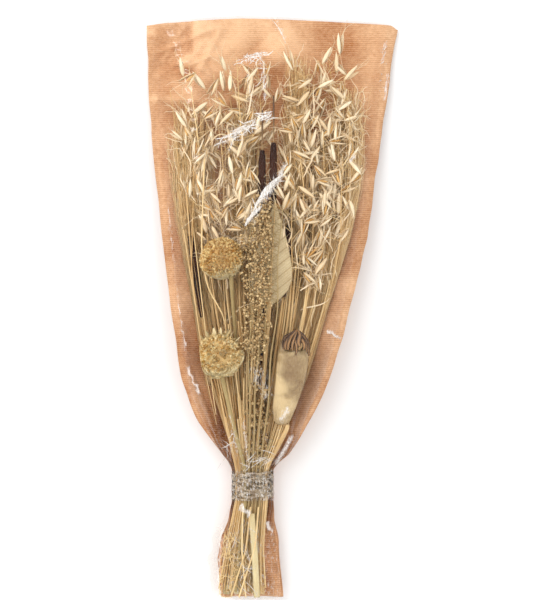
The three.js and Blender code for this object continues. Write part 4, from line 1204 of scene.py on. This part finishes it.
def paper_sheet():
    """The sheet's height is the paper's lowest line plus how far it has climbed towards the seam, plus creases,
    kinks and waves, which fade out at the seam and at the neck. Below the neck it opens into a skirt."""
    rows, columns = 400, 118
    v = 1 - (1 - np.linspace(0, 1, rows)[:, None]) ** 1.35  # rows are closer together towards the open end
    u = np.linspace(-1, 1, columns)[None]
    u = np.sign(u) * np.abs(u) ** 0.85  # a little more of the grid goes to the edges
    y = FOOT_Y + (MOUTH_Y - FOOT_Y) * v - mouth_drop(u) * smooth(0.8, 1, v)
    left, right = left_edge(y), right_edge(y)
    middle, half = (left + right) / 2, (right - left) / 2
    edge = np.abs(u)
    neck = smooth(-0.235, -0.2, y) * smooth(-0.115, -0.155, y)
    x = middle + half * (u * (1 - neck) + np.sin(np.pi / 2 * u) * neck)
    round_wall = 1 - np.sqrt(np.clip(1 - edge**2, 0, 1))
    low = paper_low(y) + 0.0004
    climb = paper_climb(u) * (1 - neck) + (1 - np.cos(np.pi / 2 * u)) * neck
    skirt = smooth(-0.2, -0.24, y)
    climb = climb * (1 - skirt) + round_wall**0.9 * skirt
    z = low + (seam(y) - low) * climb
    inside = smooth(1.0, 0.9, edge)
    corner = creases(x, y, (-0.13, 0.0), (0.18, 0.3), 30, 0.02, 0.34, 3)
    small = creases(x, y, (-0.13, 0.13), (-0.16, 0.3), 90, 0.016, 0.12, 8)
    foot = creases(x, y, (-0.06, 0.02), (-0.3, -0.21), 20, 0.01, 0.3, 9)
    kinks = 1.5 * sum(kink(x, y, *one) for one in PAPER_KINKS)
    z = z + (corner + small + foot + kinks + 0.003) * inside * (1 - neck)
    z += 0.0016 * (1 + wavy(x, y, 0.11, 21)) * inside * (1 - neck)
    z += fold(x, y, (0.003, 0.3), (0.016, 0.262), 0.0022, 0.003)
    z += fold(x, y, (-0.125, 0.262), (-0.05, 0.293), 0.003, 0.003)
    z += fold(x, y, (-0.11, 0.24), (-0.058, 0.262), 0.002, 0.0022)
    z += fold(x, y, (-0.05, 0.293), (-0.085, 0.225), 0.003, 0.0022)
    flutter = 0.0012 * wavy(x, y, 0.06, 5) + 0.0006 * wavy(x, y, 0.021, 6)
    x += np.sign(u) * flutter * smooth(0.9, 1.0, edge) * (1 - neck)
    z += neck * 0.0007 * np.sin(u * 34) * smooth(1, 0.9, edge)
    below = smooth(-0.2, -0.22, y)
    x += below * 0.0018 * wavy(y, u * 0.02, 0.05, 14) * edge
    z += below * 0.0018 * (1 + wavy(x, y, 0.022, 15)) * inside
    z = np.maximum(z, 0.0003)
    grid = np.stack([x, y + 0 * x, z + 0 * x], -1)
    # painted light in the tone: the flat strips at the edges are lighter, partly the weld's own colour and partly
    # painted light, and a band at the foot of the steep wall is painted lighter against its shade
    shade = 0.5 + 0.16 * smooth(0.86, 0.98, edge) + 0.1 * np.exp(-(((edge - 0.8) / 0.1) ** 2)) * (1 - neck)
    # painted light on the creases: their ridges are painted lighter and their hollows darker, a painted highlight
    # and shade, partly worn fibre; the tone also grows lighter towards the open end and below the neck
    crease_light_and_wear = np.clip(corner + small + kinks, -0.0012, 0.004)
    shade = shade + 0.2 * smooth(-0.1, 0.28, y) - 0.16 + 100 * crease_light_and_wear + 0.2 * skirt
    shade = np.clip(shade + 0 * y, 0, 1).ravel()
    heap = Heap()
    heap.put(shell(grid, grid_normals(grid), 0.0002), np.concatenate([shade, shade]), 0)
    piece = heap.make("kraft_paper_sheet", [kraft], ["kraft_paper_back"], plant=False)
    area = sum(p.area for p in piece.data.polygons) / 2
    width = 2 * 0.5 * np.linalg.norm(np.diff(grid, axis=1), axis=2).sum(axis=1).max()
    length = np.linalg.norm(np.diff(grid, axis=0), axis=2).sum(axis=0).max()
    print("kraft sheet", round(width, 3), "by", round(length, 3), "m at most, area", round(area, 4))


paper_sheet()

# %% [markdown]
# ## Clear film
#
# The film is a thin clear plastic. What is seen of it is only what it mirrors: at a glancing angle nearly all,
# straight on a few parts in a hundred. So its stuff is see-through, with a share of mirror that grows as the fifth
# power towards the glancing angle, and its shape does most of the rest. Folds that lean towards the lamp flash
# white. The film rests on the heads, sags between them, is puckered where it is welded, and is drawn into pleats
# at the neck. The white patches along its folds and the milky sheen at the neck are painted highlights: a matte
# white share of its stuff where the tone says, and narrow flat straps laid along the folds.

# %% The film's stuff
def clear_plastic(name, mirror_share, crinkle_mm):
    """Clear plastic: a mirror share of s + 0.34 (1 - cos a)^5 at the angle a, and where the tone attribute says
    so, a painted highlight: a matte white share that stands in for glints and sheen. A streaky noise breaks it up."""
    plastic = bpy.data.materials.new(name)
    plastic.use_nodes = True
    tree = plastic.node_tree
    tree.nodes.remove(tree.nodes["Principled BSDF"])
    place = add(tree, "ShaderNodeTexCoord")
    crinkle = add(tree, "ShaderNodeTexNoise", {"Vector": place.outputs["Object"], "Scale": 120, "Detail": 4})
    relief = add(
        tree, "ShaderNodeBump", {"Height": crinkle.outputs[0], "Distance": crinkle_mm * MM, "Strength": 0.5}
    )
    mirror = add(tree, "ShaderNodeBsdfGlossy", {"Roughness": 0.14, "Normal": relief.outputs[0]})
    clear = add(tree, "ShaderNodeBsdfTransparent", {"Color": linear("fefdfc")})
    facing = add(tree, "ShaderNodeLayerWeight", {"Blend": 0.5, "Normal": relief.outputs[0]})
    glance = add(tree, "ShaderNodeMath", {0: facing.outputs["Facing"], 1: 5.0}, operation="POWER")
    share = add(
        tree, "ShaderNodeMath", {0: glance.outputs[0], 1: 0.34, 2: mirror_share}, operation="MULTIPLY_ADD"
    )
    smooth_part = add(
        tree, "ShaderNodeMixShader", {0: share.outputs[0], 1: clear.outputs[0], 2: mirror.outputs[0]}
    )
    turned = add(
        tree,
        "ShaderNodeMapping",
        {"Vector": place.outputs["Object"], "Scale": (1, 0.3, 1), "Rotation": (0, 0, 0.7)},
    )
    streaks = add(tree, "ShaderNodeTexNoise", {"Vector": turned.outputs[0], "Scale": 700, "Detail": 3})
    tone = add(tree, "ShaderNodeAttribute", attribute_name="tone")
    offset = add(tree, "ShaderNodeMath", {0: streaks.outputs[0], 1: 2.4, 2: -1.75}, operation="MULTIPLY_ADD")
    broken = add(
        tree, "ShaderNodeMath", {0: tone.outputs["Fac"], 1: 1.35, 2: offset.outputs[0]}, operation="MULTIPLY_ADD"
    )
    painted_glint_mask = add(tree, "ShaderNodeMath", {0: broken.outputs[0], 1: 0.74}, operation="MULTIPLY", use_clamp=True)
    # painted highlight: this matte white shader, mixed in by the tone, stands in for glints on folds and sheen at
    # the neck
    white = add(tree, "ShaderNodeBsdfDiffuse", {"Color": linear("fbf7f2"), "Roughness": 0.3})
    whole = add(
        tree, "ShaderNodeMixShader", {0: painted_glint_mask.outputs[0], 1: smooth_part.outputs[0], 2: white.outputs[0]}
    )
    tree.links.new(whole.outputs[0], tree.nodes["Material Output"].inputs["Surface"])
    return plastic


film = clear_plastic("clear polypropylene film", 0.006, 0.3)
print("film is mixed")


# %% Where the film is folded
FILM_FOLDS = [  # start, end, half width, height, and how white the painted highlight along it is
    ((-0.054, 0.165), (-0.036, 0.174), 0.0040, 0.0022, 0.62),
    ((-0.044, 0.175), (-0.020, 0.183), 0.0070, 0.0030, 0.66),
    ((-0.028, 0.183), (-0.001, 0.199), 0.0040, 0.0028, 0.62),
    ((-0.040, 0.172), (-0.043, 0.158), 0.0016, 0.0008, 0.8),
    ((-0.030, 0.178), (-0.031, 0.164), 0.0016, 0.0008, 0.8),
    ((-0.018, 0.186), (-0.020, 0.172), 0.0014, 0.0008, 0.7),
    ((-0.028, 0.084), (-0.010, 0.106), 0.0050, 0.0034, 0.66),
    ((-0.016, 0.100), (0.004, 0.126), 0.0056, 0.0034, 0.66),
    ((0.000, 0.120), (0.014, 0.148), 0.0030, 0.0030, 0.66),
    ((-0.034, 0.250), (-0.002, 0.262), 0.0046, 0.0018, 0.6),
    ((-0.012, 0.262), (-0.006, 0.205), 0.0020, 0.0010, 0.75),
    ((-0.026, 0.252), (-0.020, 0.205), 0.0018, 0.0010, 0.7),
    ((0.0005, 0.304), (0.016, 0.270), 0.0026, 0.0022, 0.6),
    ((0.118, 0.278), (0.114, 0.252), 0.0034, 0.0008, 0.7),
    ((0.120, 0.246), (0.116, 0.212), 0.0026, 0.0006, 1.0),
    ((0.054, -0.022), (0.072, -0.033), 0.0022, 0.0010, 1.2),
    ((0.078, 0.148), (0.087, 0.156), 0.0020, 0.0006, 1.0),
    ((-0.088, -0.058), (-0.072, -0.092), 0.0022, 0.0012, 1.0),
    ((-0.100, 0.03), (-0.087, -0.05), 0.0014, 0.0008, 0.75),
    ((-0.108, 0.11), (-0.100, 0.04), 0.0014, 0.0008, 0.7),
    ((-0.020, -0.055), (0.0, -0.095), 0.0120, 0.0010, 0.50),
    ((0.006, -0.118), (0.018, -0.100), 0.0040, 0.0020, 0.9),
    ((0.002, -0.165), (0.022, -0.128), 0.0032, 0.0025, 1.0),
    ((-0.030, -0.110), (-0.024, -0.165), 0.0016, 0.0010, 0.75),
    ((-0.044, -0.100), (-0.034, -0.160), 0.0016, 0.0010, 0.7),
    ((-0.034, -0.203), (-0.022, -0.214), 0.0028, 0.0012, 1.3),
    ((-0.006, -0.220), (0.0, -0.234), 0.0026, 0.0010, 1.2),
    ((-0.052, -0.215), (-0.056, -0.295), 0.0016, 0.0008, 0.8),
]
# Straps painted white as highlights along the film's folds: start, end, scatter, half width in mm, count, length.
PAINTED_GLINT_STRAPS = [
    ((-0.014, 0.108), (0.002, 0.128), 0, 2.7, 1, 0.046),
    ((0.006, 0.128), (0.012, 0.142), 0, 1.4, 1, 0.026),
    ((-0.026, 0.086), (-0.014, 0.100), 0, 2.3, 1, 0.026),
    ((-0.020, 0.096), (0.006, 0.130), 0.0020, 0.55, 14, 0.018),
    ((-0.054, 0.166), (-0.003, 0.196), 0.0030, 0.7, 44, 0.013),
    ((-0.034, 0.252), (-0.004, 0.261), 0.0022, 0.55, 26, 0.010),
    ((-0.010, 0.256), (-0.008, 0.214), 0.0012, 0.4, 9, 0.016),
    ((0.0015, 0.297), (0.0155, 0.271), 0, 0.9, 1, 0.030),
    ((0.056, -0.024), (0.070, -0.032), 0.0008, 0.5, 4, 0.010),
    ((0.117, 0.27), (0.113, 0.215), 0.0010, 0.4, 14, 0.006),
    ((-0.030, -0.163), (0.000, -0.150), 0.0030, 0.35, 16, 0.016),
    ((-0.052, -0.160), (-0.040, -0.130), 0.0020, 0.3, 8, 0.02),
    ((-0.045, -0.225), (-0.020, -0.290), 0.0080, 0.3, 14, 0.02),
]
print(len(FILM_FOLDS), "folds and", len(PAINTED_GLINT_STRAPS), "pinches")


# %% The film's sheet
GLINT_STRAP_STEPS = 15  # points along one strap


def painted_glint_straps(heap, grid):
    """Lays flat straps, painted white by their tone as highlights, on the film's grid along the lines of
    PAINTED_GLINT_STRAPS. A strap bows as b s^2, s being the way from its middle, its height is that of the nearest
    grid point, smoothed, and its width is ragged. A line with a count of 1 gets one straight strap, and the others
    a scatter of short ones."""
    surface = grid[::2, ::2].reshape(-1, 3)
    for start, end, side, width, count, length in PAINTED_GLINT_STRAPS:
        scattered = count > 1
        t = rng.uniform(0, 1, (count, 1)) if scattered else np.array([[0.5]])
        at_line = np.array(start) * (1 - t) + np.array(end) * t
        way = np.array(end) - np.array(start)
        heading = np.arctan2(way[0], way[1]) + (rng.normal(0, 0.55, count) if scattered else 0)
        off = rng.normal(0, side, (count, 2)) if scattered else np.zeros((1, 2))
        middle = at_line + off
        long = length * (rng.uniform(0.5, 1.2, (count, 1)) if scattered else 1)
        steps = np.linspace(-0.5, 0.5, GLINT_STRAP_STEPS)[None] * long
        bowed = (rng.normal(0, 0.1, (count, 1)) if scattered else 0.06) * steps**2 / long * 4
        px = middle[:, :1] + np.sin(heading)[..., None] * steps + np.cos(heading)[..., None] * bowed
        py = middle[:, 1:] + np.cos(heading)[..., None] * steps - np.sin(heading)[..., None] * bowed
        near = ((surface[:, 0] - px[..., None]) ** 2 + (surface[:, 1] - py[..., None]) ** 2).argmin(-1)
        pz = surface[near, 2]
        for _ in range(4):
            pz[:, 1:-1] = (pz[:, :-2] + 2 * pz[:, 1:-1] + pz[:, 2:]) / 4
        ragged = np.sin(np.pi * np.linspace(0.03, 0.97, GLINT_STRAP_STEPS)) ** 0.7
        ragged = ragged * rng.uniform(0.65, 1.2, (count, GLINT_STRAP_STEPS)) * width
        straps = strands(np.stack([px, py, pz + 0.0007], -1), ragged * MM, 6, 0.12, 0.0)
        # a high tone paints each strap white, a painted highlight
        heap.put(straps, rng.uniform(0.65, 1.05, count), 0)


def film_sheet():
    """The film arches from seam to seam as 1 - u^4 and turns into a half oval, cos(pi u / 2), at the neck and
    below it. Pleats, waves and folds are added to its height, and white highlights are painted on its folds and
    neck."""
    rows, columns = 380, 110
    v = np.linspace(0, 1, rows)[:, None]
    u = np.linspace(-1, 1, columns)[None]
    y = FOOT_Y + (MOUTH_Y - FOOT_Y) * v - mouth_drop(u) * smooth(0.8, 1, v)
    left, right = left_edge(y), right_edge(y)
    middle, half = (left + right) / 2, (right - left) / 2
    edge = np.abs(u)
    neck = smooth(-0.225, -0.2, y) * smooth(-0.11, -0.16, y)
    skirt = smooth(-0.2, -0.235, y)
    wide = 1 + 0.004 * np.sin(y * 260)
    x = middle + half * wide * (u * (1 - neck) + np.sin(np.pi / 2 * u) * neck)
    x -= skirt * 0.009 * smooth(-0.3, -1, u) * (1 + 0.3 * wavy(y * 3, u * 0.01, 0.05, 2))
    rise = 1 - (np.clip(edge / 0.95, 0, 1)) ** 4
    crown = rise * (1 - neck - skirt * (1 - neck)) + np.cos(np.pi / 2 * u) * np.clip(neck + skirt, 0, 1)
    low = seam(y) + 0.0009
    z = low + (film_top(y) - low) * crown
    open_part = smooth(-0.15, -0.1, y)
    inside = smooth(1.0, 0.9, edge)
    pleat = np.sin(u * 31 + 1.5 * np.sin(u * 9)) * 0.0012 + 0.0007 * np.sin(u * 57 + y * 40)
    z += pleat * smooth(-0.02, -0.13, y) * inside
    z += inside * open_part * (0.0018 * wavy(x, y, 0.09, 31) + 0.0004 * wavy(x, y, 0.03, 32))
    z += inside * 0.0005 * wavy(x, y, 0.011, 33)
    above_neck = smooth(-0.07, -0.15, y) * smooth(-0.2, -0.19, y)
    # painted sheen: the film round the neck and below it is painted milky white by its tone
    painted_glint_mask = (0.46 * smooth(-0.2, -0.23, y) + 0.36 * above_neck) * inside + 0 * x
    painted_glint_mask = painted_glint_mask * (0.8 + 0.3 * wavy(x * 2, y * 0.5, 0.012, 61))
    rough = 0.0014 * wavy(x, y, 0.009, 41)  # folds run a little crooked
    # each fold also gets a painted white highlight along it, as strong as its white
    for start, end, width, height, white in FILM_FOLDS:
        z += fold(x + rough, y, start, end, width, height)
        painted_glint_mask = np.maximum(painted_glint_mask, fold(x + rough, y + 2 * rough, start, end, width * 0.9, white))
    grid = np.stack([x, y + 0 * x, z], -1)
    heap = Heap()
    painted_glint_mask = np.clip(painted_glint_mask, 0, 1).ravel()
    heap.put(shell(grid, grid_normals(grid), 0.00012), np.concatenate([painted_glint_mask, 0 * painted_glint_mask]), 0)
    painted_glint_straps(heap, grid)
    piece = heap.make("clear_film_sheet", [film], ["clear_film_front"], plant=False)
    area = sum(p.area for p in piece.data.polygons) / 2
    width = np.linalg.norm(np.diff(grid, axis=1), axis=2).sum(axis=1).max()
    length = np.linalg.norm(np.diff(grid, axis=0), axis=2).sum(axis=0).max()
    print("film sheet", round(width, 3), "by", round(length, 3), "m at most, area", round(area, 4))


film_sheet()

# %% [markdown]
# ## Clear tape
#
# One turn of clear tape holds the gathered sleeve on the twine. It is pulled tight over the pleats, so it is
# wrinkled round the neck and catches the light in short broken lines, partly from its wrinkles and partly painted
# white by its tone.

# %% Tape
tape_stuff = clear_plastic("clear packing tape", 0.02, 0.3)


def tape():
    """Rings round the neck's oval, each level going round once, with low wrinkles that run slantwise. The inner
    wall is the outer one drawn in by a tenth of a millimetre."""
    lo, hi = map(np.array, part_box("neck_tape"))
    mid, half = (lo + hi) / 2, (hi - lo) / 2
    a = -np.linspace(0, 2 * np.pi, 160, endpoint=False)[None]
    t = np.linspace(0, 1, 26)[:, None]
    y = lo[1] + (hi[1] - lo[1]) * (t + 0.035 * np.sin(3 * a + 0.6) * (t - 0.2))
    wrinkle = 0.0004 * np.sin(13 * a + 4 * t) + 0.0003 * np.sin(t * 30 + 3 * np.sin(a * 2))
    x, z = np.cos(a) * (half[0] - 0.0006 + wrinkle), np.sin(a) * (half[2] - 0.0006 + wrinkle)
    out = np.stack([x, y, z], -1)
    inner = out.copy()
    inner[..., 0] -= 0.0001 * np.cos(a)
    inner[..., 2] -= 0.0001 * np.sin(a)
    rings = np.concatenate([out, inner[::-1]]) + [mid[0], 0, mid[2]]
    sides = rings.shape[1]
    index = np.arange(len(rings) * sides).reshape(len(rings), sides)
    first, second = index, np.roll(index, -1, axis=0)
    wall = np.stack([first, second, np.roll(second, -1, 1), np.roll(first, -1, 1)], -1).reshape(-1, 4)
    heap = Heap()
    # painted highlight: the tone paints short white specks on the tape, on top of what its wrinkles mirror
    glare = 0.4 + 0.16 * wavy(rings[..., 0] * 0.6, rings[..., 1] * 2.5, 0.009, 51)
    heap.put((rings.reshape(-1, 3), [wall]), glare.ravel(), 0)
    return heap.make("tape_round_the_neck", [tape_stuff], ["neck_tape"], plant=False)


tape()
print("tape")
